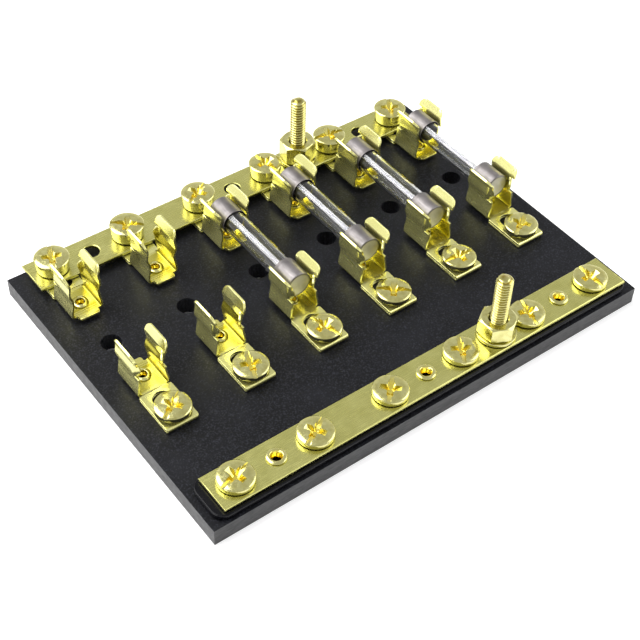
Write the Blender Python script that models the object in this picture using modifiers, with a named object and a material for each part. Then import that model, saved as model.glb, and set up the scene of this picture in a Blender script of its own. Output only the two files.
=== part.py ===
"""Six-way fuse block: a flat insulating board with twelve folded brass clips,
a feed bar, a ground bar on its own insulating strip, terminal screws, two
connection studs and four glass fuses.

Frame: metres, +Z up. The origin is the centre of the board's underside, X
runs along the rows of terminals and -Y is the side with the ground bar.
"""

import math

import bmesh
import bpy
from mathutils import Matrix, Vector

MM = 0.001

# Clearances
SEAT_GAP = 0.2 * MM            # between stacked flat pieces
FIT_GAP = 0.3 * MM             # round a pin in its hole, and under a screw head
THREAD_GAP = 0.2 * MM          # between a nut and its stud
GLASS_GAP = 0.15 * MM          # between a fuse cap and its glass

# Board
BOARD_THICKNESS = 4.5 * MM
BOARD_END_MARGIN = 9.5 * MM    # end row of terminals to the board's end
BOARD_REAR_MARGIN = 5.0 * MM   # feed screws to the rear edge
BOARD_FRONT_MARGIN = 6.3 * MM  # ground screws to the front edge
WIRE_HOLE_RADIUS = 2.4 * MM    # plain hole under the middle of each fuse
POCKET_FLOOR = 0.7 * MM        # board left below a screw's blind hole

# Rows
ROWS = 6
ROW_PITCH = 19.8 * MM
GROUND_SPACING = 23.5 * MM     # load screws to ground screws
FILLED_ROWS = (2, 3, 4, 5)     # rows that hold a fuse, counted from 0

# Fuse
FUSE_LENGTH = 31.75 * MM
CAP_RADIUS = 3.175 * MM
CAP_LENGTH = 6.2 * MM
CAP_WALL = 0.175 * MM
CAP_END = 0.5 * MM
CAP_EDGE = 0.25 * MM
GLASS_WALL = 0.5 * MM
GLASS_INSET = 1.0 * MM         # glass end to the inside of the cap's end
ELEMENT_WIDTH = 1.8 * MM
ELEMENT_THICKNESS = 0.22 * MM
ELEMENT_TURNS = 4
FUSE_AXIS_HEIGHT = 8.2 * MM    # above the board

# Clip, a sheet folded under at its terminal end. Distances along the clip
# are measured from the middle of the fuse, outwards.
SHEET = 0.55 * MM
FOLD_SLIT = 0.1 * MM
CLIP_WIDTH = 8.0 * MM
ARM_LENGTH = 8.6 * MM
FOOT_BEND = 0.725 * MM         # bend radius of the sheet's middle
STOP_CLEARANCE = 0.575 * MM    # fuse end to the root of the end stops
STOP_SETBACK = 1.65 * MM       # root of the end stops to the arm's outer edge
STOP_REACH = 1.9 * MM
STOP_HALF_HEIGHT = 1.95 * MM
STOP_SHEET = 0.45 * MM
STOP_ROOT = 0.3 * MM           # part of a stop that lies inside the arm's sheet
STOP_ANGLE = math.radians(45)
SEAT_CLEARANCE = 0.375 * MM    # arm to cap at the height of the axis
THROAT_CLEARANCE = 0.1 * MM    # arm to cap at the narrowest place above it
WAIST_PINCH = 0.225 * MM       # how far the waist is inside the cap's radius
WAIST_DROP = 2.3 * MM
THROAT_RISE = 2.45 * MM
FLANGE_BEND = 0.8 * MM         # bend radius of the sheet's middle at the throat
FLANGE_LENGTH = 1.7 * MM       # flat part of the flange
FLANGE_ANGLE = math.radians(42)
FLANGE_CORNER = 1.7 * MM
RELIEF_LENGTH = 0.9 * MM       # notch between the arm's foot and the terminal
RELIEF_DEPTH = 0.6 * MM
SHOULDER_RADIUS = 0.9 * MM
SHOULDER_SWEEP = 60            # degrees of the shoulder's curve
TERMINAL_SETBACK = 6.6 * MM    # terminal's shoulder to its screw
TERMINAL_END = 4.0 * MM        # screw to the folded end
TERMINAL_CORNER = 0.35 * MM
SLOT_REACH = 6.3 * MM          # screw to the inner end of the slot
LIP_WIDTH = 5.0 * MM
LIP_REACH = 1.0 * MM
LIP_CORNER = 0.6 * MM
UNDERLAY_SETBACK = 0.3 * MM    # folded layer's end to the arm's inner edge
RIVET_SETBACK = 3.9 * MM       # clip rivet to the arm's inner edge

# Hollow rivets of the clips and of the ground bar
RIVET_RADIUS = 1.3 * MM
RIVET_BORE = 0.75 * MM
RIVET_FLANGE = 1.9 * MM
RIVET_FLANGE_HEIGHT = 0.35 * MM
RIVET_FLARE = 2.2 * MM
RIVET_FLARE_HEIGHT = 0.5 * MM
EYELET_FLANGE = 2.2 * MM

# Bars and the strip under the ground bar
BAR_WIDTH = 9.6 * MM
BAR_THICKNESS = 1.0 * MM
GROUND_BAR_LEFT = 5.9 * MM     # end screw to the bar's left end
GROUND_BAR_RIGHT = 6.9 * MM    # end screw to the bar's right end
FEED_BAR_END = 5.5 * MM        # end screw to either end
SPARE_HOLE_RADIUS = 2.0 * MM
STRIP_BORDER = 0.8 * MM        # strip past the bar's long edges
STRIP_LEFT = 2.0 * MM
STRIP_RIGHT = 1.0 * MM
STRIP_THICKNESS = 1.3 * MM
STRIP_CORNER = 3.0 * MM

# Terminal screws, with low heads on the load and ground sides and deep ones on the feed bar
SCREW_RADIUS = 1.95 * MM
HEAD_RADIUS = 4.1 * MM
LOW_HEAD_HEIGHT = 1.6 * MM
DEEP_HEAD_HEIGHT = 3.6 * MM
DEEP_HEAD_TAPER = 0.35 * MM    # a deep head's foot, in from its edge
EDGE_DROP = 0.5 * MM           # head's edge below its top
SHOULDER_DROP = 0.3 * MM
SHOULDER_INSET = 0.3 * MM      # shoulder of the dome, in from the head's edge
CROWN_INSET = 1.4 * MM         # the flatter crown, in from the head's edge
CROWN_DROP = 0.12 * MM
SLOT_WIDTH = 1.0 * MM
SLOT_DEPTH = 0.75 * MM
CROSS_LENGTH = 4.4 * MM
CROSS_DEPTH = 1.2 * MM
SCREW_LENGTH = 6.0 * MM
LOAD_STAND = 0.8 * MM          # head above the load terminal
LOAD_TURN = math.radians(35)
FEED_TURN = math.radians(70)
GROUND_TURN = math.radians(15)

# Studs, nuts and washers
STUD_RADIUS = 1.95 * MM
GROUND_STUD_STAND = 17.4 * MM  # tip above the ground bar
FEED_STUD_STAND = 18.6 * MM    # tip above the feed bar
GROUND_STUD_OFFSET = 0.5 * MM  # from the middle of its two screws
STUD_TIP = 0.6 * MM
STUD_HEAD_RADIUS = 3.6 * MM
STUD_HEAD_HEIGHT = 1.6 * MM
NUT_FLATS = 8.0 * MM
GROUND_NUT_HEIGHT = 4.0 * MM
FEED_NUT_HEIGHT = 5.0 * MM
GROUND_NUT_TURN = math.radians(2)
FEED_NUT_TURN = math.radians(48)
WASHER_RADIUS = 4.6 * MM
WASHER_THICKNESS = 0.8 * MM

# Facets of round pieces
PIN_FACETS = 8
POCKET_FACETS = 10
HOLE_FACETS = 12
WIRE_HOLE_FACETS = 20
SCREW_FACETS = 14
CAP_FACETS = 16
FOOT_STEPS = 3                 # facets of a clip's bend at its foot
SEAT_STEPS = 5                 # facets of an arm from waist to throat
FLANGE_STEPS = 2
CORNER_STEPS = 3
ELEMENT_STEPS = 5              # facets of the twisted ribbon in one turn
CLEAR = 1.0 * MM               # how far a cutter stands out of what it cuts
MERGE_DISTANCE = 0.0001 * MM
POLE_MERGE = 0.01 * MM         # joins the points on a turned piece's axis
FLAT_ANGLE = math.radians(0.1)

# Places along the clip
ARM_ROOT = FUSE_LENGTH / 2 + STOP_CLEARANCE
ARM_OUTER = ARM_ROOT + STOP_SETBACK
ARM_INNER = ARM_OUTER - ARM_LENGTH
SHOULDER = ARM_OUTER + RELIEF_LENGTH
TERMINAL = SHOULDER + TERMINAL_SETBACK
CLIP_END = TERMINAL + TERMINAL_END
RIVET_PLACE = ARM_INNER + RIVET_SETBACK

FLANGE_RISE = FLANGE_BEND * math.sin(FLANGE_ANGLE) + FLANGE_LENGTH * math.cos(FLANGE_ANGLE)

# Places on the board
BOARD_LENGTH = (ROWS - 1) * ROW_PITCH + 2 * BOARD_END_MARGIN
BOARD_DEPTH = BOARD_REAR_MARGIN + 2 * TERMINAL + GROUND_SPACING + BOARD_FRONT_MARGIN
FEED_Y = BOARD_DEPTH / 2 - BOARD_REAR_MARGIN
FUSE_Y = FEED_Y - TERMINAL
LOAD_Y = FUSE_Y - TERMINAL
GROUND_Y = LOAD_Y - GROUND_SPACING
ROW_X = [(row - (ROWS - 1) / 2) * ROW_PITCH for row in range(ROWS)]
SPARE_X = [(ROW_X[i] + ROW_X[i + 1]) / 2 for i in range(0, ROWS - 1, 2)]
FEED_STUD_X = (ROW_X[-2] + ROW_X[-3]) / 2
GROUND_STUD_X = FEED_STUD_X + GROUND_STUD_OFFSET
STUDS = [(FEED_STUD_X, FEED_Y), (GROUND_STUD_X, GROUND_Y)]

# Heights
BOARD_TOP = BOARD_THICKNESS
CLIP_BOTTOM = BOARD_TOP + SEAT_GAP
FLOOR_BOTTOM = CLIP_BOTTOM + SHEET + FOLD_SLIT
FLOOR_TOP = FLOOR_BOTTOM + SHEET
FUSE_Z = BOARD_TOP + FUSE_AXIS_HEIGHT
FEED_BAR_BOTTOM = FLOOR_TOP + SEAT_GAP
FEED_BAR_TOP = FEED_BAR_BOTTOM + BAR_THICKNESS
STRIP_BOTTOM = BOARD_TOP + SEAT_GAP
STRIP_TOP = STRIP_BOTTOM + STRIP_THICKNESS
GROUND_BAR_BOTTOM = STRIP_TOP + SEAT_GAP
GROUND_BAR_TOP = GROUND_BAR_BOTTOM + BAR_THICKNESS
LOAD_HEAD = FLOOR_TOP + LOAD_STAND
FEED_HEAD = FEED_BAR_TOP + FIT_GAP
GROUND_HEAD = GROUND_BAR_TOP + FIT_GAP

# Holes
SCREW_HOLE = SCREW_RADIUS + FIT_GAP
STUD_HOLE = STUD_RADIUS + FIT_GAP
RIVET_HOLE = RIVET_RADIUS + FIT_GAP
FLARE_HOLE = RIVET_FLARE + FIT_GAP
FLARE_DEPTH = RIVET_FLARE_HEIGHT + 2 * FIT_GAP
STUD_HEAD_HOLE = STUD_HEAD_RADIUS + FIT_GAP
STUD_HEAD_DEPTH = STUD_HEAD_HEIGHT + 2 * FIT_GAP

BRASS = (0.74, 0.62, 0.24, 1.0)
PALE_BRASS = (0.80, 0.74, 0.36, 1.0)
BLACK_BOARD = (0.02, 0.021, 0.023, 1.0)
BLACK_STRIP = (0.012, 0.012, 0.014, 1.0)
NICKEL = (0.62, 0.59, 0.60, 1.0)
CLEAR_GLASS = (0.90, 0.93, 0.92, 1.0)
TINNED_WIRE = (0.82, 0.82, 0.84, 1.0)


def clear_scene():
    """Remove the objects that the scene starts with."""
    for item in list(bpy.data.objects):
        bpy.data.objects.remove(item)


def new_collection(name):
    """Return a new collection linked to the scene."""
    collection = bpy.data.collections.new(name)
    bpy.context.scene.collection.children.link(collection)
    return collection


def finish(name, color, roughness, metallic):
    """Return a Principled material for one sub-part."""
    material = bpy.data.materials.new(name)
    material.use_nodes = True
    shader = material.node_tree.nodes["Principled BSDF"]
    shader.inputs["Base Color"].default_value = color
    shader.inputs["Roughness"].default_value = roughness
    shader.inputs["Metallic"].default_value = metallic
    material.diffuse_color = color
    return material


def add(name, data, collection, location=(0, 0, 0), rotation=(0, 0, 0)):
    """Put mesh or curve data into a collection as a new object."""
    item = bpy.data.objects.new(name, data)
    item.location = location
    item.rotation_euler = rotation
    collection.objects.link(item)
    return item


def bake(item):
    """Return the object's evaluated mesh and remove the object."""
    bpy.context.view_layer.update()
    graph = bpy.context.evaluated_depsgraph_get()
    mesh = bpy.data.meshes.new_from_object(item.evaluated_get(graph))
    mesh.transform(item.matrix_world)
    shape = bmesh.new()
    shape.from_mesh(mesh)
    bmesh.ops.remove_doubles(shape, verts=shape.verts, dist=MERGE_DISTANCE)
    bmesh.ops.dissolve_limit(
        shape, angle_limit=FLAT_ANGLE, verts=shape.verts, edges=shape.edges)
    bmesh.ops.recalc_face_normals(shape, faces=shape.faces)
    shape.to_mesh(mesh)
    shape.free()
    bpy.data.objects.remove(item)
    return mesh


def combine(mesh, tool_mesh, operation):
    """Join, cut or intersect one mesh with another and return the result."""
    body = add("body", mesh, CUTTERS)
    tool = add("tool", tool_mesh, CUTTERS)
    tool.hide_render = True
    tool.display_type = 'WIRE'
    boolean = body.modifiers.new("boolean", 'BOOLEAN')
    boolean.operation = operation
    boolean.solver = 'EXACT'
    boolean.object = tool
    result = bake(body)
    bpy.data.objects.remove(tool)
    return result


def box(size, centre):
    """Return a box mesh."""
    shape = bmesh.new()
    bmesh.ops.create_cube(shape, size=1.0)
    bmesh.ops.transform(
        shape, verts=shape.verts, matrix=Matrix.Translation(centre) @ Matrix.Diagonal((*size, 1)))
    mesh = bpy.data.meshes.new("box")
    shape.to_mesh(mesh)
    shape.free()
    return mesh


def rods(rods_list, facets):
    """Return one mesh of upright cylinders, given as (x, y, radius, low, high)."""
    shape = bmesh.new()
    for x, y, radius, low, high in rods_list:
        bmesh.ops.create_cone(
            shape, cap_ends=True, segments=facets, radius1=radius, radius2=radius,
            depth=high - low, matrix=Matrix.Translation((x, y, (low + high) / 2)))
    mesh = bpy.data.meshes.new("rods")
    shape.to_mesh(mesh)
    shape.free()
    return mesh


def turned(profile, facets):
    """Return a mesh turned about Z from (radius, height) points, top to bottom."""
    mesh = bpy.data.meshes.new("profile")
    shape = bmesh.new()
    points = [shape.verts.new((radius, 0, height)) for radius, height in profile]
    for first, second in zip(points, points[1:]):
        shape.edges.new((first, second))
    shape.to_mesh(mesh)
    shape.free()
    item = add("turned", mesh, CUTTERS)
    screw = item.modifiers.new("screw", 'SCREW')
    screw.steps = facets
    screw.render_steps = facets
    screw.use_merge_vertices = True
    screw.merge_threshold = POLE_MERGE
    return bake(item)


def arc(centre, radii, start, end, steps):
    """Return points on an elliptical arc between two angles in degrees."""
    points = []
    for step in range(steps + 1):
        angle = math.radians(start + (end - start) * step / steps)
        points.append((centre[0] + radii[0] * math.cos(angle),
                       centre[1] + radii[1] * math.sin(angle)))
    return points


def circle(x, y, radius, facets=HOLE_FACETS):
    """Return points round a circle."""
    return arc((x, y), (radius, radius), 0, 360, facets)[:-1]


def rounded_rectangle(left, right, front, back, corner, steps):
    """Return the outline of a rectangle with round corners."""
    corners = ((right - corner, back - corner), (left + corner, back - corner),
               (left + corner, front + corner), (right - corner, front + corner))
    outline = []
    for quarter, centre in enumerate(corners):
        outline += arc(centre, (corner, corner), 90 * quarter, 90 * (quarter + 1), steps)
    return outline


def plate(outlines, low, high):
    """Return a flat plate from closed outlines; the inner ones are its holes."""
    curve = bpy.data.curves.new("plate", 'CURVE')
    curve.dimensions = '2D'
    curve.fill_mode = 'BOTH'
    curve.extrude = (high - low) / 2
    for outline in outlines:
        spline = curve.splines.new('POLY')
        spline.points.add(len(outline) - 1)
        for point, (x, y) in zip(spline.points, outline):
            point.co = (x, y, 0, 1)
        spline.use_cyclic_u = True
    mesh = bake(add("plate", curve, CUTTERS))
    mesh.transform(Matrix.Translation((0, 0, (low + high) / 2)))
    return mesh


def upright(mesh, along):
    """Stand a plate up: its X stays, its Y becomes height, its thickness lies along 'along'."""
    turn = Matrix.Rotation(math.radians(90), 4, 'X')
    if along == 'X':
        turn = Matrix.Rotation(math.radians(90), 4, 'Z') @ turn
    mesh.transform(turn)
    return mesh


def smooth(mesh, angle=30):
    """Shade the round surfaces of a mesh smooth."""
    mesh.shade_smooth()
    mesh.set_sharp_from_angle(angle=math.radians(angle))
    return mesh


def node(name, mesh, material, parent=None, place=(0, 0, 0), turn=(0, 0, 0)):
    """Make one named sub-part of the model."""
    item = add(name, mesh, PART, place, turn)
    item.parent = parent
    if material.name not in mesh.materials:
        mesh.materials.clear()
        mesh.materials.append(material)
    return item


def axis_empty(name, place):
    """Return an empty that marks where a moving group sits."""
    item = add(name, None, PART, place)
    return item


def make_board():
    """The insulating board with every hole, pocket and counterbore."""
    mesh = box((BOARD_LENGTH, BOARD_DEPTH, BOARD_THICKNESS), (0, 0, BOARD_THICKNESS / 2))
    top = BOARD_TOP + CLEAR
    pins = []
    for x in ROW_X:
        for head, y in ((LOAD_HEAD, LOAD_Y), (FEED_HEAD, FEED_Y), (GROUND_HEAD, GROUND_Y)):
            floor = max(head - SCREW_LENGTH - FIT_GAP, POCKET_FLOOR)
            pins.append((x, y, SCREW_HOLE, floor, top))
    pins += [(x, y, STUD_HOLE, -CLEAR, top) for x, y in STUDS]
    mesh = combine(mesh, rods(pins, POCKET_FACETS), 'DIFFERENCE')
    pins = [(x, FUSE_Y, WIRE_HOLE_RADIUS, -CLEAR, top) for x in ROW_X]
    mesh = combine(mesh, rods(pins, WIRE_HOLE_FACETS), 'DIFFERENCE')
    rivets = [(x, FUSE_Y + side * RIVET_PLACE) for x in ROW_X for side in (-1, 1)]
    rivets += [(x, GROUND_Y) for x in SPARE_X]
    pins = [(x, y, RIVET_HOLE, -CLEAR, top) for x, y in rivets]
    mesh = combine(mesh, rods(pins, PIN_FACETS), 'DIFFERENCE')
    pins = [(x, y, FLARE_HOLE, -CLEAR, FLARE_DEPTH) for x, y in rivets]
    pins += [(x, y, STUD_HEAD_HOLE, -CLEAR, STUD_HEAD_DEPTH) for x, y in STUDS]
    return combine(mesh, rods(pins, POCKET_FACETS), 'DIFFERENCE')


def bar_holes(stud, facets):
    """Return the hole of a bar's or strip's stud and its screw holes."""
    return [circle(*stud, STUD_HOLE, facets)] + [
        circle(x, stud[1], SCREW_HOLE, facets) for x in ROW_X]


def make_strip():
    """The insulating strip under the ground bar."""
    left = ROW_X[0] - GROUND_BAR_LEFT - STRIP_LEFT
    right = ROW_X[-1] + GROUND_BAR_RIGHT + STRIP_RIGHT
    half = BAR_WIDTH / 2 + STRIP_BORDER
    outline = rounded_rectangle(
        left, right, GROUND_Y - half, GROUND_Y + half, STRIP_CORNER, 2 * CORNER_STEPS)
    holes = bar_holes((GROUND_STUD_X, GROUND_Y), POCKET_FACETS)
    holes += [circle(x, GROUND_Y, RIVET_HOLE, PIN_FACETS) for x in SPARE_X]
    return plate([outline] + holes, STRIP_BOTTOM, STRIP_TOP)


def make_bar(stud, left, right, low, extra_radius):
    """A straight bar with its screw holes, stud hole and holes between them."""
    y = stud[1]
    front, back = y - BAR_WIDTH / 2, y + BAR_WIDTH / 2
    outline = [(left, front), (right, front), (right, back), (left, back)]
    holes = bar_holes(stud, HOLE_FACETS) + [circle(x, y, extra_radius) for x in SPARE_X]
    return plate([outline] + holes, low, low + BAR_THICKNESS)


def arm_path():
    """Return the middle of the sheet from the floor's centre to a flange's tip, as (x, z)."""
    half = SHEET / 2
    floor = FLOOR_BOTTOM + half
    foot = CLIP_WIDTH / 2 - half
    waist = Vector((CAP_RADIUS - WAIST_PINCH + half, FUSE_Z - WAIST_DROP))
    throat = Vector((CAP_RADIUS + THROAT_CLEARANCE + half, FUSE_Z + THROAT_RISE))
    path = [(0, floor)]
    path += arc((foot - FOOT_BEND, floor + FOOT_BEND), (FOOT_BEND, FOOT_BEND), -90, 0, FOOT_STEPS)
    seat_share = WAIST_DROP / (WAIST_DROP + THROAT_RISE)
    seat = CAP_RADIUS + SEAT_CLEARANCE + half
    bulge = (seat - waist.lerp(throat, seat_share).x) / math.sin(math.pi * seat_share)
    for step in range(SEAT_STEPS + 1):
        share = step / SEAT_STEPS
        point = waist.lerp(throat, share)
        path.append((point.x + bulge * math.sin(math.pi * share), point.y))
    path += arc((throat.x + FLANGE_BEND, throat.y), (FLANGE_BEND, FLANGE_BEND),
                180, 180 - math.degrees(FLANGE_ANGLE), FLANGE_STEPS)[1:]
    bend_end = path[-1]
    path.append((bend_end[0] + FLANGE_LENGTH * math.sin(FLANGE_ANGLE),
                 bend_end[1] + FLANGE_LENGTH * math.cos(FLANGE_ANGLE)))
    return path


def sheet_outline(path, thickness):
    """Return the closed outline of a sheet that follows a path."""
    points = [Vector(point) for point in path]
    outer, inner = [], []
    for index, point in enumerate(points):
        before = points[max(index - 1, 0)]
        after = points[min(index + 1, len(points) - 1)]
        along = (after - before).normalized()
        side = Vector((along.y, -along.x)) * thickness / 2
        outer.append(point + side)
        inner.append(point - side)
    return [tuple(point) for point in outer + inner[::-1]]


def clip_arms():
    """The U of the clip: floor, two arms and their flanges."""
    half_path = arm_path()
    path = [(-x, z) for x, z in half_path[:0:-1]] + half_path
    section = plate([sheet_outline(path, SHEET)], -ARM_OUTER, -ARM_INNER)
    section = upright(section, 'Y')
    tip = half_path[-1][1] + SHEET / 2
    corner_z = FLANGE_RISE
    side = [(ARM_INNER - CLEAR, CLIP_BOTTOM), (ARM_OUTER + CLEAR, CLIP_BOTTOM),
            (ARM_OUTER + CLEAR, tip - corner_z)]
    side += arc((ARM_OUTER - FLANGE_CORNER, tip - corner_z), (FLANGE_CORNER, corner_z),
                0, 90, CORNER_STEPS)
    side += arc((ARM_INNER + FLANGE_CORNER, tip - corner_z), (FLANGE_CORNER, corner_z),
                90, 180, CORNER_STEPS)
    side.append((ARM_INNER - CLEAR, tip - corner_z))
    reach = CLIP_WIDTH + FLANGE_LENGTH
    profile = upright(plate([side], -reach, reach), 'X')
    arms = combine(section, profile, 'INTERSECT')
    window = box((2 * reach, STOP_SETBACK + CLEAR, 2 * (STOP_HALF_HEIGHT + FOLD_SLIT)),
                 (0, ARM_ROOT + FOLD_SLIT + (STOP_SETBACK + CLEAR) / 2, FUSE_Z))
    return combine(arms, window, 'DIFFERENCE')


def clip_stop(side):
    """One end stop: a half-round flap of the arm, bent inwards behind the fuse."""
    outline = [(-STOP_ROOT, -STOP_HALF_HEIGHT)]
    outline += arc((0, 0), (STOP_REACH, STOP_HALF_HEIGHT), -90, 90, 2 * CORNER_STEPS)
    outline.append((-STOP_ROOT, STOP_HALF_HEIGHT))
    flap = upright(plate([outline], -STOP_SHEET / 2, STOP_SHEET / 2), 'Y')
    turn = math.radians(90) + side * STOP_ANGLE
    place = Vector((side * (CAP_RADIUS + SEAT_CLEARANCE), ARM_ROOT, FUSE_Z))
    flap.transform(Matrix.Translation(place) @ Matrix.Rotation(turn, 4, 'Z'))
    return flap


def clip_base():
    """The floor strip: inner lip, terminal and the layer folded under it."""
    mid = (CLIP_BOTTOM + FLOOR_TOP) / 2
    radius = (FLOOR_TOP - CLIP_BOTTOM) / 2
    fold = CLIP_END - radius
    inner = ARM_INNER - LIP_REACH
    under_end = ARM_INNER + UNDERLAY_SETBACK
    outline = [(inner, FLOOR_TOP)]
    outline += arc((fold, mid), (radius, radius), 90, -90, CORNER_STEPS + 1)
    outline += [(under_end, CLIP_BOTTOM), (under_end, CLIP_BOTTOM + SHEET),
                (fold, CLIP_BOTTOM + SHEET), (fold, FLOOR_BOTTOM), (inner, FLOOR_BOTTOM)]
    strip = upright(plate([outline], -CLIP_WIDTH, CLIP_WIDTH), 'X')
    half, lip = CLIP_WIDTH / 2, LIP_WIDTH / 2
    neck = half - RELIEF_DEPTH
    right = arc((lip - LIP_CORNER, inner + LIP_CORNER), (LIP_CORNER, LIP_CORNER), -90, 0, 1)
    right += [(lip, ARM_OUTER - RELIEF_DEPTH), (neck, ARM_OUTER - RELIEF_DEPTH), (neck, SHOULDER)]
    right += arc((half - SHOULDER_RADIUS, SHOULDER + SHOULDER_RADIUS),
                 (SHOULDER_RADIUS, SHOULDER_RADIUS), -SHOULDER_SWEEP, 0, 2)
    right += arc((half - TERMINAL_CORNER, CLIP_END - TERMINAL_CORNER),
                 (TERMINAL_CORNER, TERMINAL_CORNER), 0, 90, 1)
    left = [(-x, y) for x, y in right[::-1]]
    plan = plate([right + left], CLIP_BOTTOM - CLEAR, FLOOR_TOP + CLEAR)
    return combine(strip, plan, 'INTERSECT')


def rivet(x, y, top, flange_radius, seat):
    """A solid rivet from its upper flange down to its flared end in the board."""
    bottom = FIT_GAP
    profile = [(0, top), (flange_radius, top), (flange_radius, seat), (RIVET_RADIUS, seat),
               (RIVET_RADIUS, bottom + RIVET_FLARE_HEIGHT), (RIVET_FLARE, bottom + RIVET_FLARE_HEIGHT),
               (RIVET_FLARE, bottom), (0, bottom)]
    mesh = turned(profile, PIN_FACETS)
    mesh.transform(Matrix.Translation((x, y, 0)))
    return mesh


def make_clip():
    """One folded clip with its hollow rivet, standing on the board at the fuse's middle."""
    mesh = combine(clip_arms(), clip_base(), 'UNION')
    for side in (-1, 1):
        mesh = combine(mesh, clip_stop(side), 'UNION')
    inner_end = TERMINAL - SLOT_REACH + SCREW_HOLE
    slot = arc((0, TERMINAL), (SCREW_HOLE, SCREW_HOLE), 0, 180, CORNER_STEPS + 2)
    slot += arc((0, inner_end), (SCREW_HOLE, SCREW_HOLE), 180, 360, CORNER_STEPS + 2)
    mesh = combine(mesh, plate([slot], CLIP_BOTTOM - CLEAR, FLOOR_TOP + CLEAR), 'DIFFERENCE')
    seat = FLOOR_TOP - SHEET / 2
    mesh = combine(mesh, rivet(0, RIVET_PLACE, FLOOR_TOP + RIVET_FLANGE_HEIGHT, RIVET_FLANGE, seat),
                   'UNION')
    bore = rods([(0, RIVET_PLACE, RIVET_BORE, -CLEAR, FUSE_Z)], PIN_FACETS)
    mesh = combine(mesh, bore, 'DIFFERENCE')
    mesh.transform(Matrix.Translation((0, 0, -BOARD_TOP)))
    return smooth(mesh)


def make_eyelet():
    """One hollow rivet of the ground bar, with its origin on the bar's top."""
    seat = GROUND_BAR_TOP + SEAT_GAP
    mesh = rivet(0, 0, seat + RIVET_FLANGE_HEIGHT, EYELET_FLANGE, seat)
    bore = rods([(0, 0, RIVET_BORE, -CLEAR, seat + CLEAR)], PIN_FACETS)
    mesh = combine(mesh, bore, 'DIFFERENCE')
    mesh.transform(Matrix.Translation((0, 0, -GROUND_BAR_TOP)))
    return smooth(mesh)


def make_screw(height, taper):
    """One terminal screw, with its origin under the middle of its head."""
    profile = [(0, height), (HEAD_RADIUS - CROWN_INSET, height - CROWN_DROP),
               (HEAD_RADIUS - SHOULDER_INSET, height - SHOULDER_DROP),
               (HEAD_RADIUS, height - EDGE_DROP), (HEAD_RADIUS - taper, 0), (SCREW_RADIUS, 0),
               (SCREW_RADIUS, -SCREW_LENGTH), (0, -SCREW_LENGTH)]
    mesh = turned(profile, SCREW_FACETS)
    slot = box((2 * HEAD_RADIUS + CLEAR, SLOT_WIDTH, SLOT_DEPTH + CLEAR),
               (0, 0, height - SLOT_DEPTH + (SLOT_DEPTH + CLEAR) / 2))
    mesh = combine(mesh, slot, 'DIFFERENCE')
    cross = box((SLOT_WIDTH, CROSS_LENGTH, CROSS_DEPTH + CLEAR),
                (0, 0, height - CROSS_DEPTH + (CROSS_DEPTH + CLEAR) / 2))
    return smooth(combine(mesh, cross, 'DIFFERENCE'))


def make_stud(bar_top, stand):
    """One connection stud, a bolt whose head sits in the board's underside; origin on the bar."""
    bottom = FIT_GAP - bar_top
    profile = [(0, stand), (STUD_RADIUS - STUD_TIP, stand),
               (STUD_RADIUS, stand - STUD_TIP), (STUD_RADIUS, bottom + STUD_HEAD_HEIGHT),
               (STUD_HEAD_RADIUS, bottom + STUD_HEAD_HEIGHT), (STUD_HEAD_RADIUS, bottom), (0, bottom)]
    return smooth(turned(profile, SCREW_FACETS))


def make_nut(height):
    """One hexagon nut with chamfered corners, origin under its middle."""
    corner = NUT_FLATS / 2 / math.cos(math.radians(30))
    hexagon = arc((0, 0), (corner, corner), 0, 360, 6)[:-1]
    mesh = plate([hexagon, circle(0, 0, STUD_RADIUS + THREAD_GAP)], 0, height)
    chamfer = corner - NUT_FLATS / 2
    profile = [(0, height + CLEAR), (NUT_FLATS / 2, height + CLEAR), (NUT_FLATS / 2, height),
               (corner + chamfer / 4, height - chamfer), (corner + chamfer / 4, -CLEAR), (0, -CLEAR)]
    return smooth(combine(mesh, turned(profile, 2 * SCREW_FACETS), 'INTERSECT'))


def make_washer():
    """One plain washer under a nut."""
    outlines = [circle(0, 0, WASHER_RADIUS, 2 * PIN_FACETS), circle(0, 0, STUD_HOLE)]
    return smooth(plate(outlines, 0, WASHER_THICKNESS))


def make_cap():
    """One fuse cap, a drawn cup; local Z points out of the fuse, origin at the fuse's middle."""
    end = FUSE_LENGTH / 2
    mouth = end - CAP_LENGTH
    inner = CAP_RADIUS - CAP_WALL
    profile = [(0, end), (CAP_RADIUS - CAP_EDGE, end), (CAP_RADIUS, end - CAP_EDGE),
               (CAP_RADIUS, mouth), (inner, mouth), (inner, end - CAP_END), (0, end - CAP_END)]
    return smooth(turned(profile, CAP_FACETS))


def make_glass():
    """The fuse's glass tube, along local Z."""
    outer = CAP_RADIUS - CAP_WALL - GLASS_GAP
    half = FUSE_LENGTH / 2 - CAP_END - GLASS_INSET
    inner = outer - GLASS_WALL
    profile = [(outer, half), (outer, -half), (inner, -half), (inner, half), (outer, half)]
    return smooth(turned(profile, CAP_FACETS))


def make_element():
    """The fuse's twisted ribbon, along local Z, reaching almost to the cap ends."""
    half = FUSE_LENGTH / 2 - CAP_END - FIT_GAP
    steps = ELEMENT_TURNS * ELEMENT_STEPS
    shape = bmesh.new()
    bmesh.ops.create_cube(shape, size=1.0)
    bmesh.ops.transform(
        shape, verts=shape.verts,
        matrix=Matrix.Diagonal((ELEMENT_WIDTH, ELEMENT_THICKNESS, 2 * half, 1)))
    uprights = [edge for edge in shape.edges
                if abs(edge.verts[0].co.z - edge.verts[1].co.z) > half]
    bmesh.ops.subdivide_edges(shape, edges=uprights, cuts=steps - 1, use_grid_fill=True)
    for vertex in shape.verts:
        turn = 2 * math.pi * ELEMENT_TURNS * vertex.co.z / (2 * half)
        vertex.co = Matrix.Rotation(turn, 3, 'Z') @ vertex.co
    bmesh.ops.triangulate(shape, faces=shape.faces, quad_method='SHORT_EDGE')
    mesh = bpy.data.meshes.new("element")
    shape.to_mesh(mesh)
    shape.free()
    return mesh


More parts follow.
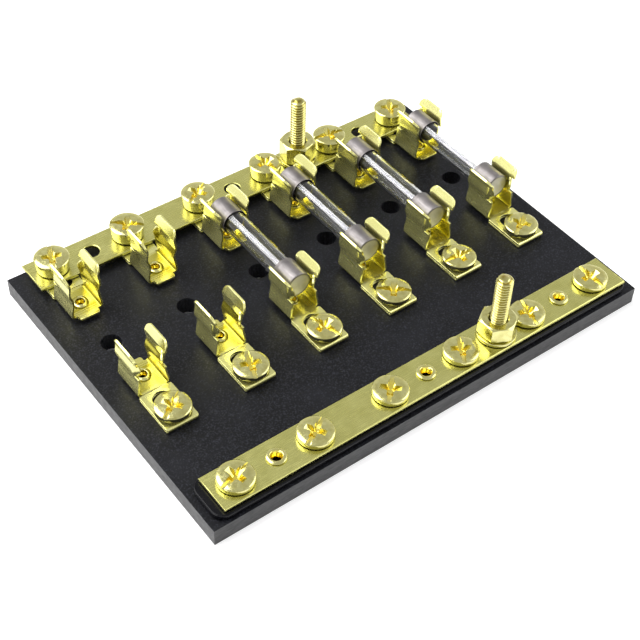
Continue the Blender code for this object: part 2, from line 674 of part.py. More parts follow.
def add_screws(mesh, material, group, y, head, turn):
    """Add one row of terminal screws, each on its own axis."""
    for row, x in enumerate(ROW_X, start=1):
        node(f"{group}_screw_{row}", mesh, material, place=(x, y, head), turn=(0, 0, turn * row))


def add_fuse(row, meshes, materials):
    """Add one glass fuse under an empty at its middle."""
    parent = axis_empty(f"fuse_{row + 1}_axis", (ROW_X[row], FUSE_Y, FUSE_Z))
    parent.rotation_euler = (math.radians(-90), 0, 0)
    name = f"fuse_{row + 1}"
    node(f"{name}_glass", meshes["glass"], materials["glass"], parent)
    node(f"{name}_element", meshes["element"], materials["element"], parent)
    node(f"{name}_rear_cap", meshes["cap"], materials["cap"], parent)
    node(f"{name}_front_cap", meshes["cap"], materials["cap"], parent, turn=(math.pi, 0, 0))


def add_stud(group, stud, bar_top, stand, nut_height, nut_turn, brass):
    """Add one stud with its washer and nut."""
    washer_z = bar_top + SEAT_GAP
    nut_z = washer_z + WASHER_THICKNESS + SEAT_GAP
    node(f"{group}_stud", make_stud(bar_top, stand), brass, place=(*stud, bar_top))
    node(f"{group}_stud_washer", make_washer(), brass, place=(*stud, washer_z))
    node(f"{group}_stud_nut", make_nut(nut_height), brass, place=(*stud, nut_z),
         turn=(0, 0, nut_turn))


def build():
    """Make every sub-part."""
    brass = finish("brass", BRASS, 0.28, 1.0)
    bar_brass = finish("bar_brass", PALE_BRASS, 0.32, 1.0)
    clip_brass = finish("clip_brass", PALE_BRASS, 0.25, 1.0)
    board = finish("board", BLACK_BOARD, 0.45, 0.0)
    strip = finish("strip", BLACK_STRIP, 0.3, 0.0)
    fuse_finishes = {
        "glass": finish("glass", CLEAR_GLASS, 0.05, 0.0),
        "cap": finish("nickel", NICKEL, 0.3, 1.0),
        "element": finish("tinned", TINNED_WIRE, 0.25, 1.0),
    }
    node("base_board", make_board(), board)
    node("insulator_strip", make_strip(), strip)
    node("ground_bus_bar",
         make_bar((GROUND_STUD_X, GROUND_Y), ROW_X[0] - GROUND_BAR_LEFT,
                  ROW_X[-1] + GROUND_BAR_RIGHT, GROUND_BAR_BOTTOM, RIVET_HOLE), bar_brass)
    node("feed_bus_bar",
         make_bar((FEED_STUD_X, FEED_Y), ROW_X[0] - FEED_BAR_END,
                  ROW_X[-1] + FEED_BAR_END, FEED_BAR_BOTTOM, SPARE_HOLE_RADIUS), bar_brass)
    clip = make_clip()
    for row, x in enumerate(ROW_X, start=1):
        node(f"load_clip_{row}", clip, clip_brass, place=(x, FUSE_Y, BOARD_TOP), turn=(0, 0, math.pi))
        node(f"feed_clip_{row}", clip, clip_brass, place=(x, FUSE_Y, BOARD_TOP))
    low_screw = make_screw(LOW_HEAD_HEIGHT, 0)
    deep_screw = make_screw(DEEP_HEAD_HEIGHT, DEEP_HEAD_TAPER)
    add_screws(low_screw, brass, "load", LOAD_Y, LOAD_HEAD, LOAD_TURN)
    add_screws(deep_screw, brass, "feed", FEED_Y, FEED_HEAD, FEED_TURN)
    add_screws(low_screw, brass, "ground", GROUND_Y, GROUND_HEAD, GROUND_TURN)
    eyelet = make_eyelet()
    for index, x in enumerate(SPARE_X, start=1):
        node(f"ground_bar_eyelet_{index}", eyelet, brass, place=(x, GROUND_Y, GROUND_BAR_TOP))
    add_stud("ground", (GROUND_STUD_X, GROUND_Y), GROUND_BAR_TOP, GROUND_STUD_STAND,
             GROUND_NUT_HEIGHT, GROUND_NUT_TURN, brass)
    add_stud("feed", (FEED_STUD_X, FEED_Y), FEED_BAR_TOP, FEED_STUD_STAND, FEED_NUT_HEIGHT,
             FEED_NUT_TURN, brass)
    fuse_meshes = {"glass": make_glass(), "cap": make_cap(), "element": make_element()}
    for row in FILLED_ROWS:
        add_fuse(row, fuse_meshes, fuse_finishes)


clear_scene()
PART = new_collection("fuse_block")
CUTTERS = new_collection("cutters")
build()
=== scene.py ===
"""Looks of a six-way fuse block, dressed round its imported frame.

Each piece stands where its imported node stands: places are read from the frame's own boxes,
and the sizes that belong to the looks are fields of the classes below. Lengths are in metres.
"""

from __future__ import annotations

import logging
import math
from collections.abc import Callable
from dataclasses import dataclass, replace
from enum import Enum
from typing import Any

import bmesh
import bpy
from mathutils import Matrix, Vector

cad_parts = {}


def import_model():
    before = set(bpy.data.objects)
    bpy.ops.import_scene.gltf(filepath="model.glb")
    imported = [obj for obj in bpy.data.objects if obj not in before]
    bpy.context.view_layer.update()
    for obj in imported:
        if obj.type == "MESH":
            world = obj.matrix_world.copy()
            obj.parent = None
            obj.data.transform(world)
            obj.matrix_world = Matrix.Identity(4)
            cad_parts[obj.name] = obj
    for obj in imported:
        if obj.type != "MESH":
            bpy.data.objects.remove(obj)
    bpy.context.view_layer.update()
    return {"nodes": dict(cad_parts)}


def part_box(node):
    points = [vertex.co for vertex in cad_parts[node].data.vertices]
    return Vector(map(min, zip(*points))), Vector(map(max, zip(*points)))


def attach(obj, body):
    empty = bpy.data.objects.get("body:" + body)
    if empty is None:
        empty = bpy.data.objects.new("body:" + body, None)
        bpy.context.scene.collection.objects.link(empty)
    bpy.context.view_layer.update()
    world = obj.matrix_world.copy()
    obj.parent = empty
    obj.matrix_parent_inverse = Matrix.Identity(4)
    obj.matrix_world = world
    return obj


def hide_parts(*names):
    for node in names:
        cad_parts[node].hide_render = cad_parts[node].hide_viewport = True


LOG = logging.getLogger("fuse_block")
MM = 0.001
ROWS = 6
FUSED_ROWS = (3, 4, 5, 6)
BLOCK = "block"
# Point attributes for painted colour: the first marks painted light (warm bounce light in hollows, a
# pale highlight on cap ends), the second painted shade (thread roots, inner faces of empty clips).
PAINTED_LIGHT = "inner"
PAINTED_SHADE = "groove"
WELD = 1e-3 * MM
DOUBLE = 1e-4 * MM

Point = tuple[float, float]
Color = tuple[float, float, float]
Mesh = bpy.types.Mesh
Item = bpy.types.Object
Node = bpy.types.Node
Socket = bpy.types.NodeSocket


class Slot(Enum):
    """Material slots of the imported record."""

    BOARD = "board"
    STRIP = "strip"
    BAR = "bar_brass"
    CLIP = "clip_brass"
    SCREW = "screw_brass"
    CAP = "cap_nickel"
    GLASS = "fuse_glass"
    ELEMENT = "fuse_element"


class ScrewGroup(Enum):
    """Rows of terminal screws: name, turn from one screw to the next in degrees, deep head."""

    LOAD = ("load", 35.0, False)
    FEED = ("feed", 70.0, True)
    GROUND = ("ground", 15.0, False)

    @property
    def deep(self) -> bool:
        """Whether the row's heads are deep ones."""
        return self.value[2]

    def node(self, row: int) -> str:
        """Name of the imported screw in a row."""
        return f"{self.value[0]}_screw_{row}"

    def turn(self, row: int) -> float:
        """Angle of that screw's slot in radians."""
        return math.radians(self.value[1] * row)


class StudGroup(Enum):
    """The two connection studs: name and turn of the nut in degrees."""

    GROUND = ("ground", 2.0)
    FEED = ("feed", 48.0)


@dataclass(frozen=True)
class Spot:
    """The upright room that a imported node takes."""

    x: float
    y: float
    low: float
    high: float

    @classmethod
    def of(cls, node: str) -> Spot:
        """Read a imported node's room.

        Args:
            node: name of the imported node.

        Returns:
            Its middle in plan, and its lowest and highest point.
        """
        least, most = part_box(node)
        middle = (least + most) / 2
        return cls(middle.x, middle.y, least.z, most.z)


@dataclass(frozen=True)
class Grain:
    """Noise of one fineness: patches to a metre, octaves, the band in use, and its stretch."""

    scale: float
    detail: float
    band: Point = (0.3, 0.7)
    stretch: Color = (1.0, 1.0, 1.0)


class NodeSheet:
    """Adds nodes to one tree and joins their sockets.

    MIX_INPUTS are the numbers of a Mix node's share and of its two colours.
    """

    MIX_INPUTS = (0, 6, 7)

    def __init__(self, tree: bpy.types.NodeTree) -> None:
        """Take the tree to fill."""
        self.tree = tree

    def feed(self, node: Node, feeds: dict[Any, Any]) -> Node:
        """Feed a node's inputs.

        Args:
            node: the node.
            feeds: a value or another node's output for each input, by name or number.

        Returns:
            The same node.
        """
        for socket, value in feeds.items():
            if isinstance(value, Socket):
                self.tree.links.new(value, node.inputs[socket])
            else:
                node.inputs[socket].default_value = value
        return node

    def add(self, kind: str, feeds: dict | None = None, **settings: Any) -> Node:
        """Add one node.

        Args:
            kind: Blender's name of the node type.
            feeds: what its inputs get.
            settings: properties of the node.

        Returns:
            The new node.
        """
        node = self.tree.nodes.new(kind)
        for name, value in settings.items():
            setattr(node, name, value)
        return self.feed(node, feeds or {})

    def math(self, operation: str, *values: Any) -> Socket:
        """Add a Math node and return its result."""
        feeds = dict(enumerate(values))
        return self.add("ShaderNodeMath", feeds, operation=operation).outputs[0]

    def split(self, vector: Any) -> bpy.types.bpy_prop_collection:
        """Return a vector's X, Y and Z sockets."""
        return self.add("ShaderNodeSeparateXYZ", {0: vector}).outputs

    def noise(self, grain: Grain) -> Socket:
        """Add noise on Object coordinates.

        Args:
            grain: its fineness and stretch.

        Returns:
            The noise value's socket.
        """
        place = self.add("ShaderNodeTexCoord").outputs["Object"]
        mapped = self.add("ShaderNodeMapping", {"Vector": place, "Scale": grain.stretch})
        feeds = {"Vector": mapped.outputs[0], "Scale": grain.scale, "Detail": grain.detail}
        return self.add("ShaderNodeTexNoise", feeds).outputs[0]

    def fitted(self, value: Any, band: Point, to: Point) -> Socket:
        """Map a band of values to another range, held at its ends."""
        feeds = {0: value, 1: band[0], 2: band[1], 3: to[0], 4: to[1]}
        return self.add("ShaderNodeMapRange", feeds).outputs[0]

    def spread(self, grain: Grain, to: Point) -> Socket:
        """Add noise with its band mapped to a range."""
        return self.fitted(self.noise(grain), grain.band, to)

    def blended(self, share: Any, first: Any, second: Any) -> Socket:
        """Mix two colours.

        Args:
            share: how much of the second colour shows.
            first: a socket, or red, green and blue.
            second: the same.

        Returns:
            The mixed colour's socket.
        """
        colors = [(*color, 1.0) if isinstance(color, tuple) else color for color in (first, second)]
        feeds = dict(zip(self.MIX_INPUTS, (share, *colors)))
        return self.add("ShaderNodeMix", feeds, data_type="RGBA").outputs[2]

    def tinted(self, label: str, color: Any, tint: Color, most: Any = 1.0) -> Socket:
        """Lay a tint over a colour where a piece's attribute says so; the script paints light and
        shade this way.

        Args:
            label: name of the attribute, which runs from 0 to 1.
            color: the colour below.
            tint: the colour laid over it.
            most: share of the tint where the attribute is 1.

        Returns:
            The mixed colour's socket.
        """
        share = self.add("ShaderNodeAttribute", attribute_name=label).outputs["Fac"]
        return self.blended(self.math("MULTIPLY", share, most), color, tint)

    def bump(self, height: Any, strength: float, depth: float) -> Socket:
        """Turn a height into a normal."""
        feeds = {"Height": height, "Strength": strength, "Distance": depth}
        return self.add("ShaderNodeBump", feeds).outputs[0]

    def past_board(self, margin: float) -> Socket:
        """Tell what lies past the board's sides.

        Args:
            margin: how far inside the sides the limit runs.

        Returns:
            The socket of a value that is 1 past the limit and 0 inside it.
        """
        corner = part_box("base_board")[1]
        place = self.split(self.add("ShaderNodeTexCoord").outputs["Object"])
        sides = [self.math("GREATER_THAN", self.math("ABSOLUTE", place[axis]), half - margin)
                 for axis, half in zip("XY", corner)]
        return self.math("MAXIMUM", *sides)

    def in_view(self) -> tuple[Socket, Socket]:
        """Tell by which way a ray meets the surface.

        Returns:
            Whether it shows in the picture at all, and whether it shows in metal.
        """
        path = self.add("ShaderNodeLightPath").outputs
        mirrored = path["Is Glossy Ray"]
        indirect = self.math("MAXIMUM", mirrored, path["Is Transmission Ray"])
        return self.math("MAXIMUM", path["Is Camera Ray"], indirect), mirrored


class Finish:
    """A material with one Principled shader, which the finish's own surface feeds."""

    name: str

    def surface(self, sheet: NodeSheet) -> dict[str, Any]:
        """Give the shader's inputs."""
        raise NotImplementedError

    def make(self) -> bpy.types.Material:
        """Make the material.

        Returns:
            The finished material.
        """
        material = bpy.data.materials.new(self.name)
        material.use_nodes = True
        sheet = NodeSheet(material.node_tree)
        sheet.feed(material.node_tree.nodes["Principled BSDF"], self.surface(sheet))
        return material


@dataclass(frozen=True)
class MetalFinish(Finish):
    """Bare metal with cloudy patches and fine lines from rolling or turning, with painted light and
    painted shade where a piece's attributes ask for them.
    """

    name: str
    color: Color
    stain: Color
    roughness: Point
    lines: Grain = Grain(3500.0, 3.0)
    line_depth: float = 0.012 * MM
    patches: Grain = Grain(260.0, 4.0, (0.35, 0.7))
    # deep is a painted-light colour: warm bounce light in the hollows of clips, screws and eyelets,
    # and a pale highlight on the caps' ends.
    deep: Color | None = None
    painted_light_most: Point = (1.0, 0.6)
    # groove is a painted-shade colour: darker thread roots, and darker inner faces on the clips
    # without a fuse.
    groove: Color | None = None
    relief: float = 0.35
    metal: float = 1.0

    def surface(self, sheet: NodeSheet) -> dict[str, Any]:
        """Give the shader's inputs.

        Args:
            sheet: the material's nodes.

        Returns:
            A value or a socket for each input, by name.
        """
        patches = sheet.spread(self.patches, (0.0, 1.0))
        color = sheet.blended(patches, self.color, self.stain)
        # Painted light, then painted shade, go over the metal's own colour.
        if self.deep is not None:
            color = sheet.tinted(PAINTED_LIGHT, color, self.deep,
                                 sheet.fitted(patches, (0.0, 1.0), self.painted_light_most))
        if self.groove is not None:
            color = sheet.tinted(PAINTED_SHADE, color, self.groove)
        lines = sheet.noise(self.lines)
        return {"Base Color": color, "Metallic": self.metal,
                "Roughness": sheet.fitted(lines, self.lines.band, self.roughness),
                "Normal": sheet.bump(lines, self.relief, self.line_depth)}


@dataclass(frozen=True)
class LaminateFinish(Finish):
    """Pressed black laminate: a speckled satin face and paler sawn sides."""

    name: str
    face: Color
    speck: Color
    side: Color
    roughness: Point
    gloss: float
    clouds: Grain = Grain(110.0, 5.0, (0.4, 0.75))
    cloud_most: float = 0.30
    specks: Grain = Grain(2600.0, 3.0, (0.48, 0.72))
    layers: Grain = Grain(1500.0, 3.0, (0.35, 0.65), (0.35, 0.35, 2.2))
    layer_shade: float = 0.6
    wear: Grain = Grain(700.0, 4.0)
    pits: Grain = Grain(1600.0, 4.0)
    relief: float = 0.4
    pit_depth: float = 0.03 * MM
    steep: float = 0.6
    skin: float = 0.2 * MM

    def surface(self, sheet: NodeSheet) -> dict[str, Any]:
        """Give the shader's inputs.

        Args:
            sheet: the material's nodes.

        Returns:
            A value or a socket for each input, by name.
        """
        clouds = sheet.spread(self.clouds, (0.0, self.cloud_most))
        specks = sheet.spread(self.specks, (0.0, 1.0))
        face = sheet.blended(sheet.math("MAXIMUM", clouds, specks), self.face, self.speck)
        layers = sheet.noise(self.layers)
        dark = tuple(self.layer_shade * value for value in self.side)
        side = sheet.blended(sheet.fitted(layers, self.layers.band, (0.0, 1.0)), dark, self.side)
        relief = sheet.math("ADD", sheet.noise(self.pits), layers)
        return {"Base Color": sheet.blended(self.sawn(sheet), face, side),
                "Roughness": sheet.spread(self.wear, self.roughness),
                "Normal": sheet.bump(relief, self.relief, self.pit_depth),
                "Specular IOR Level": self.gloss}

    def sawn(self, sheet: NodeSheet) -> Socket:
        """Return 1 on the outer sides, and 0 on both faces and inside the holes, whose walls keep the
        black face colour as painted shade.
        """
        upright = sheet.split(sheet.add("ShaderNodeTexCoord").outputs["Normal"])["Z"]
        steep = sheet.math("LESS_THAN", sheet.math("ABSOLUTE", upright), self.steep)
        return sheet.math("MULTIPLY", steep, sheet.past_board(self.skin))


@dataclass(frozen=True)
class PolymerFinish(Finish):
    """Glossy black moulded strip with a little dust and a faint ripple."""

    name: str
    color: Color
    dust: Color
    roughness: Point
    gloss: float
    motes: Grain = Grain(1800.0, 3.0, (0.62, 0.8))
    mote_most: float = 0.5
    wear: Grain = Grain(500.0, 4.0)
    ripple: Grain = Grain(350.0, 2.0)
    relief: float = 0.25
    ripple_depth: float = 0.04 * MM

    def surface(self, sheet: NodeSheet) -> dict[str, Any]:
        """Give the shader's inputs.

        Args:
            sheet: the material's nodes.

        Returns:
            A value or a socket for each input, by name.
        """
        motes = sheet.spread(self.motes, (0.0, self.mote_most))
        return {"Base Color": sheet.blended(motes, self.color, self.dust),
                "Roughness": sheet.spread(self.wear, self.roughness),
                "Normal": sheet.bump(sheet.noise(self.ripple), self.relief, self.ripple_depth),
                "Specular IOR Level": self.gloss}


@dataclass(frozen=True)
class GlassFinish(Finish):
    """Clear drawn glass with a trace of handling marks."""

    name: str
    color: Color
    roughness: Point
    smears: Grain = Grain(420.0, 3.0, (0.45, 0.8), (1.0, 0.3, 1.0))
    bending: float = 1.47

    def surface(self, sheet: NodeSheet) -> dict[str, Any]:
        """Give the shader's inputs."""
        return {"Base Color": (*self.color, 1.0), "Transmission Weight": 1.0, "IOR": self.bending,
                "Roughness": sheet.spread(self.smears, self.roughness)}


@dataclass(frozen=True)
class FloorFinish(Finish):
    """Pale matt floor that glows a little where it is seen beside the board; its missing glow under
    the board is painted shade.
    """

    name: str = "pale_floor"
    color: Color = (0.86, 0.86, 0.86)
    roughness: float = 0.9
    glow: float = 0.42
    margin: float = 1.0 * MM

    def surface(self, sheet: NodeSheet) -> dict[str, Any]:
        """Give the shader's inputs.

        Args:
            sheet: the material's nodes.

        Returns:
            A value or a socket for each input, by name.
        """
        # No glow under the board: painted shade, so the floor seen through the board's holes reads
        # dark.
        seen = sheet.math("MULTIPLY", sheet.in_view()[0], sheet.past_board(self.margin))
        return {"Base Color": (*self.color, 1.0), "Roughness": self.roughness,
                "Specular IOR Level": 0.0, "Emission Color": (1.0, 1.0, 1.0, 1.0),
                "Emission Strength": sheet.math("MULTIPLY", seen, self.glow)}


FINISHES: dict[Slot, Finish] = {
    Slot.BOARD: LaminateFinish(
        "black_laminate", face=(0.0028, 0.0030, 0.0041), speck=(0.025, 0.026, 0.034),
        side=(0.088, 0.088, 0.090), roughness=(0.36, 0.52), gloss=0.18),
    Slot.STRIP: PolymerFinish(
        "black_strip", color=(0.0035, 0.0035, 0.005), dust=(0.03, 0.03, 0.036),
        roughness=(0.18, 0.34), gloss=0.16),
    Slot.BAR: MetalFinish(
        "rolled_brass", color=(0.64, 0.62, 0.22), stain=(0.55, 0.53, 0.17), roughness=(0.20, 0.32),
        lines=Grain(3500.0, 3.0, stretch=(0.12, 1.0, 1.0)), relief=0.08),
    # Clip: deep is painted warm bounce light on the inner faces of fused clips; groove is painted
    # shade on the inner faces of empty clips.
    Slot.CLIP: MetalFinish(
        "spring_brass", color=(0.83, 0.805, 0.335), stain=(0.79, 0.765, 0.295),
        roughness=(0.21, 0.28), lines=Grain(900.0, 3.0, stretch=(1.0, 0.2, 1.0)),
        patches=Grain(160.0, 4.0, (0.35, 0.7)), deep=(0.98, 0.87, 0.06), groove=(0.52, 0.46, 0.05),
        relief=0.02, metal=0.88),
    # Screws, studs and eyelets: deep is painted warm bounce light in recesses and eyelet hollows;
    # groove is painted shade in thread roots.
    Slot.SCREW: MetalFinish(
        "turned_brass", color=(0.70, 0.67, 0.30), stain=(0.56, 0.52, 0.19), roughness=(0.12, 0.26),
        lines=Grain(1900.0, 3.0), patches=Grain(700.0, 4.0, (0.35, 0.7)),
        deep=(0.91, 0.74, 0.11), groove=(0.30, 0.23, 0.03), relief=0.3),
    # Caps: deep is a pale painted highlight on the end disc.
    Slot.CAP: MetalFinish(
        "nickel_plate", color=(0.272, 0.252, 0.248), stain=(0.162, 0.150, 0.148),
        roughness=(0.40, 0.58), lines=Grain(3500.0, 3.0, stretch=(1.0, 0.12, 1.0)),
        deep=(0.86, 0.85, 0.82), relief=0.9),
    Slot.GLASS: GlassFinish("clear_glass", color=(0.985, 0.992, 0.988), roughness=(0.0, 0.05)),
    Slot.ELEMENT: MetalFinish(
        "tinned_strip", color=(0.72, 0.71, 0.76), stain=(0.46, 0.45, 0.50), roughness=(0.14, 0.24)),
}


class Bench:
    """Turns meshes into finished pieces and keeps one material for each slot."""

    def __init__(self) -> None:
        """Make the materials."""
        self.materials = {slot: finish.make() for slot, finish in FINISHES.items()}

    def piece(self, name: str, mesh: Mesh, slot: Slot, body: str, *nodes: str) -> Item:
        """Put a finished piece on a body.

        Args:
            name: the piece's name.
            mesh: its mesh, already in place.
            slot: the slot that its finish comes from.
            body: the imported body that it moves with.
            nodes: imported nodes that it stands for.

        Returns:
            The piece.
        """
        mesh.materials.clear()
        mesh.materials.append(self.materials[slot])
        item = linked(name, mesh)
        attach(item, body)
        if nodes:
            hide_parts(*nodes)
        LOG.info("%s: %d faces on %s", name, len(mesh.polygons), body)
        return item

    def dress(self, node: Item, slot: Slot) -> None:
        """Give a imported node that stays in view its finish.

        Args:
            node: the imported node.
            slot: the slot that its finish comes from.
        """
        node.data.materials.clear()
        node.data.materials.append(self.materials[slot])
        LOG.info("%s: packed node dressed", node.name)


def linked(name: str, data: Any) -> Item:
    """Make an object from data and link it to the scene.

    Args:
        name: the object's name.
        data: its mesh, curve, camera or light.

    Returns:
        The object.
    """
    item = bpy.data.objects.new(name, data)
    bpy.context.scene.collection.objects.link(item)
    return item


def settled(item: Item) -> Mesh:
    """Turn an object with its modifiers into a plain mesh.

    Args:
        item: the object, which is removed.

    Returns:
        Its evaluated mesh.
    """
    bpy.context.view_layer.update()
    graph = bpy.context.evaluated_depsgraph_get()
    mesh = bpy.data.meshes.new_from_object(item.evaluated_get(graph))
    bpy.data.objects.remove(item)
    return mesh


def meshed(shape: bmesh.types.BMesh, name: str) -> Mesh:
    """Write a bmesh into a new mesh.

    Args:
        shape: the bmesh, which is freed.
        name: the mesh's name.

    Returns:
        The mesh.
    """
    mesh = bpy.data.meshes.new(name)
    shape.to_mesh(mesh)
    shape.free()
    return mesh


def written(shape: bmesh.types.BMesh, name: str) -> Mesh:
    """Close a bmesh into a mesh with its faces outwards.

    Args:
        shape: the bmesh, which is freed.
        name: the mesh's name.

    Returns:
        The mesh, without double points.
    """
    bmesh.ops.remove_doubles(shape, verts=shape.verts, dist=DOUBLE)
    bmesh.ops.recalc_face_normals(shape, faces=shape.faces)
    return meshed(shape, name)


def polished(mesh: Mesh, angle: float) -> Mesh:
    """Shade a mesh smooth with flat faces kept flat.

    Args:
        mesh: the mesh to shade.
        angle: edges sharper than this, in degrees, stay sharp.

    Returns:
        The shaded mesh.
    """
    mesh.shade_smooth()
    mesh.set_sharp_from_angle(angle=math.radians(angle))
    item = linked("polish", mesh)
    even = item.modifiers.new("even", "WEIGHTED_NORMAL")
    even.keep_sharp = True
    return settled(item)


def marked(mesh: Mesh, rule: Callable[[Vector], float]) -> Mesh:
    """Store on every point of a mesh its share of painted light, such as its depth in a hollow.

    Args:
        mesh: the mesh to mark.
        rule: gives the share at a place, before it is held between 0 and 1.

    Returns:
        The same mesh.
    """
    layer = mesh.attributes.new(PAINTED_LIGHT, "FLOAT", "POINT")
    for index, vertex in enumerate(mesh.vertices):
        layer.data[index].value = min(max(rule(vertex.co), 0.0), 1.0)
    return mesh


def arc(centre: Point, radii: Point | float, start: float, end: float, steps: int) -> list[Point]:
    """Walk along an elliptical arc.

    Args:
        centre: the ellipse's centre.
        radii: its half sizes, or the radius of a circle.
        start: angle of the first point in degrees.
        end: angle of the last point in degrees.
        steps: lines that the arc is made of.

    Returns:
        The points.
    """
    wide, high = radii if isinstance(radii, tuple) else (radii, radii)
    angles = [math.radians(start + (end - start) * step / steps) for step in range(steps + 1)]
    return [(centre[0] + wide * math.cos(angle), centre[1] + high * math.sin(angle))
            for angle in angles]


def circle(x: float, y: float, radius: float, steps: int = 48) -> list[Point]:
    """Return points round a circle."""
    return arc((x, y), radius, 0, 360, steps)[:-1]


def ring(radius: float, height: float, steps: int) -> list[Vector]:
    """Return points round Z at a height, or one point where the radius is 0."""
    return [Vector((*spot, height)) for spot in circle(0, 0, radius, steps if radius else 1)]


def rounded_box(left: float, right: float, front: float, back: float,
                corner: float, steps: int = 12) -> list[Point]:
    """Draw a rectangle with round corners.

    Args:
        left: its least X.
        right: its greatest X.
        front: its least Y.
        back: its greatest Y.
        corner: radius of the corners.
        steps: lines in each corner.

    Returns:
        The outline.
    """
    outline = []
    west, east, south, north = left + corner, right - corner, front + corner, back - corner
    for turn, centre in enumerate(((east, north), (west, north), (west, south), (east, south))):
        outline += arc(centre, corner, 90 * turn, 90 * (turn + 1), steps)
    return outline


def eased(points: list[Point], radius: float, steps: int = 3) -> list[Point]:
    """Round the inner corners of an open line.

    Args:
        points: the line's points.
        radius: how far the rounding starts from a corner, where both sides have the room.
        steps: lines in each corner.

    Returns:
        The rounded line, with both ends as they were.
    """
    line = [Vector(point) for point in points]
    result = [points[0]]
    for before, corner, after in zip(line, line[1:], line[2:]):
        reach = min(radius, (before - corner).length / 2, (after - corner).length / 2)
        start = corner + (before - corner).normalized() * reach
        end = corner + (after - corner).normalized() * reach
        for step in range(steps + 1):
            share = step / steps
            result.append(tuple(start.lerp(corner, share).lerp(corner.lerp(end, share), share)))
    return result + [points[-1]]


def skinned(rings: list[list[Vector]], name: str, capped: bool = False) -> Mesh:
    """Join rings of points, one after another, with faces.

    Args:
        rings: the points of each ring; a ring of one point is a pole.
        name: the mesh's name.
        capped: whether the first and the last ring get a face of their own.

    Returns:
        The mesh.
    """
    shape = bmesh.new()
    loops = [[shape.verts.new(point) for point in points] for points in rings]
    if capped:
        shape.faces.new(loops[0])
        shape.faces.new(loops[-1][::-1])
    steps = max(len(loop) for loop in loops)
    for upper, lower in zip(loops, loops[1:]):
        for step in range(steps):
            after = (step + 1) % steps
            corners = [upper[step % len(upper)], upper[after % len(upper)],
                       lower[after % len(lower)], lower[step % len(lower)]]
            shape.faces.new(list(dict.fromkeys(corners)))
    return written(shape, name)


def turned(profile: list[Point], steps: int, name: str = "turned") -> Mesh:
    """Turn (radius, height) points about Z.

    Args:
        profile: points from one end to the other; a closed ring repeats its first point.
        steps: faces round the turn.
        name: the mesh's name.

    Returns:
        The turned mesh.
    """
    return skinned([ring(radius, height, steps) for radius, height in profile], name)


def tapered(top: Point, bottom: Point, high: float, low: float) -> Mesh:
    """Make a four-sided cutter.

    Args:
        top: length and width of its top.
        bottom: length and width of its bottom.
        high: height of its top.
        low: height of its bottom.

    Returns:
        The cutter's mesh.
    """
    corners = ((-1, -1), (1, -1), (1, 1), (-1, 1))
    rings = [[Vector((x * length / 2, y * width / 2, z)) for x, y in corners]
             for (length, width), z in ((top, high), (bottom, low))]
    return skinned(rings, "cutter", capped=True)


def plate(outlines: list[list[Point]], low: float, high: float, edge: float) -> Mesh:
    """Make a flat plate with eased edges.

    Args:
        outlines: closed outlines; the inner ones are holes.
        low: height of the underside.
        high: height of the top.
        edge: width of the eased edge.

    Returns:
        The plate's mesh.
    """
    curve = bpy.data.curves.new("plate", "CURVE")
    curve.dimensions = "2D"
    curve.fill_mode = "BOTH"
    curve.extrude = (high - low) / 2 - edge
    curve.bevel_depth = edge
    curve.bevel_resolution = 2
    curve.offset = -edge
    for outline in outlines:
        spline = curve.splines.new("POLY")
        spline.points.add(len(outline) - 1)
        for point, (x, y) in zip(spline.points, outline):
            point.co = (x, y, 0, 1)
        spline.use_cyclic_u = True
    mesh = settled(linked("plate", curve))
    mesh.transform(Matrix.Translation((0, 0, (low + high) / 2)))
    shape = bmesh.new()
    shape.from_mesh(mesh)
    return written(shape, "plate")


def cut(mesh: Mesh, tool_mesh: Mesh) -> Mesh:
    """Cut one mesh out of another.

    Args:
        mesh: the mesh that stays.
        tool_mesh: the mesh that is taken out of it.

    Returns:
        What is left.
    """
    body, tool = linked("body", mesh), linked("tool", tool_mesh)
    boolean = body.modifiers.new("cut", "BOOLEAN")
    boolean.operation = "DIFFERENCE"
    boolean.solver = "EXACT"
    boolean.object = tool
    result = settled(body)
    bpy.data.objects.remove(tool)
    return result


class GrowingTree:
    """A Geometry Nodes tree with named inputs, run on one object at a time."""

    KINDS = {"Material": "NodeSocketMaterial", "Place": "NodeSocketVector", "Rows": "NodeSocketInt",
             "Head": "NodeSocketObject", "Pattern": "NodeSocketObject"}

    def __init__(self, name: str, *labels: str) -> None:
        """Start the tree.

        Args:
            name: the tree's name.
            labels: its named inputs, which are numbers where KINDS doesn't list them.
        """
        self.tree = bpy.data.node_groups.new(name, "GeometryNodeTree")
        face = self.tree.interface
        face.new_socket("Geometry", in_out="INPUT", socket_type="NodeSocketGeometry")
        face.new_socket("Geometry", in_out="OUTPUT", socket_type="NodeSocketGeometry")
        self.keys = {}
        for label in labels:
            kind = self.KINDS.get(label, "NodeSocketFloat")
            socket = face.new_socket(label, in_out="INPUT", socket_type=kind)
            self.keys[label] = socket.identifier
        self.sheet = NodeSheet(self.tree)
        self.entry = self.sheet.add("NodeGroupInput").outputs

    def close(self, geometry: Socket) -> None:
        """End the tree in Realize Instances and Set Material.

        Args:
            geometry: what the tree has made.
        """
        real = self.sheet.add("GeometryNodeRealizeInstances", {0: geometry})
        coat = self.sheet.add("GeometryNodeSetMaterial",
                              {"Geometry": real.outputs[0], "Material": self.entry["Material"]})
        self.sheet.add("NodeGroupOutput", {0: coat.outputs[0]})

    def grow(self, values: dict[str, Any], points: list[Vector] | None = None) -> Mesh:
        """Run the tree and return its plain mesh.

        Args:
            values: a value for each named input.
            points: places that the tree starts from.

        Returns:
            The finished mesh.
        """
        seed = bpy.data.meshes.new("seed")
        seed.from_pydata(points or [Vector((0, 0, 0))], [], [])
        item = linked("grown", seed)
        modifier = item.modifiers.new("grow", "NODES")
        modifier.node_group = self.tree
        for label, value in values.items():
            modifier[self.keys[label]] = value
        return settled(item)


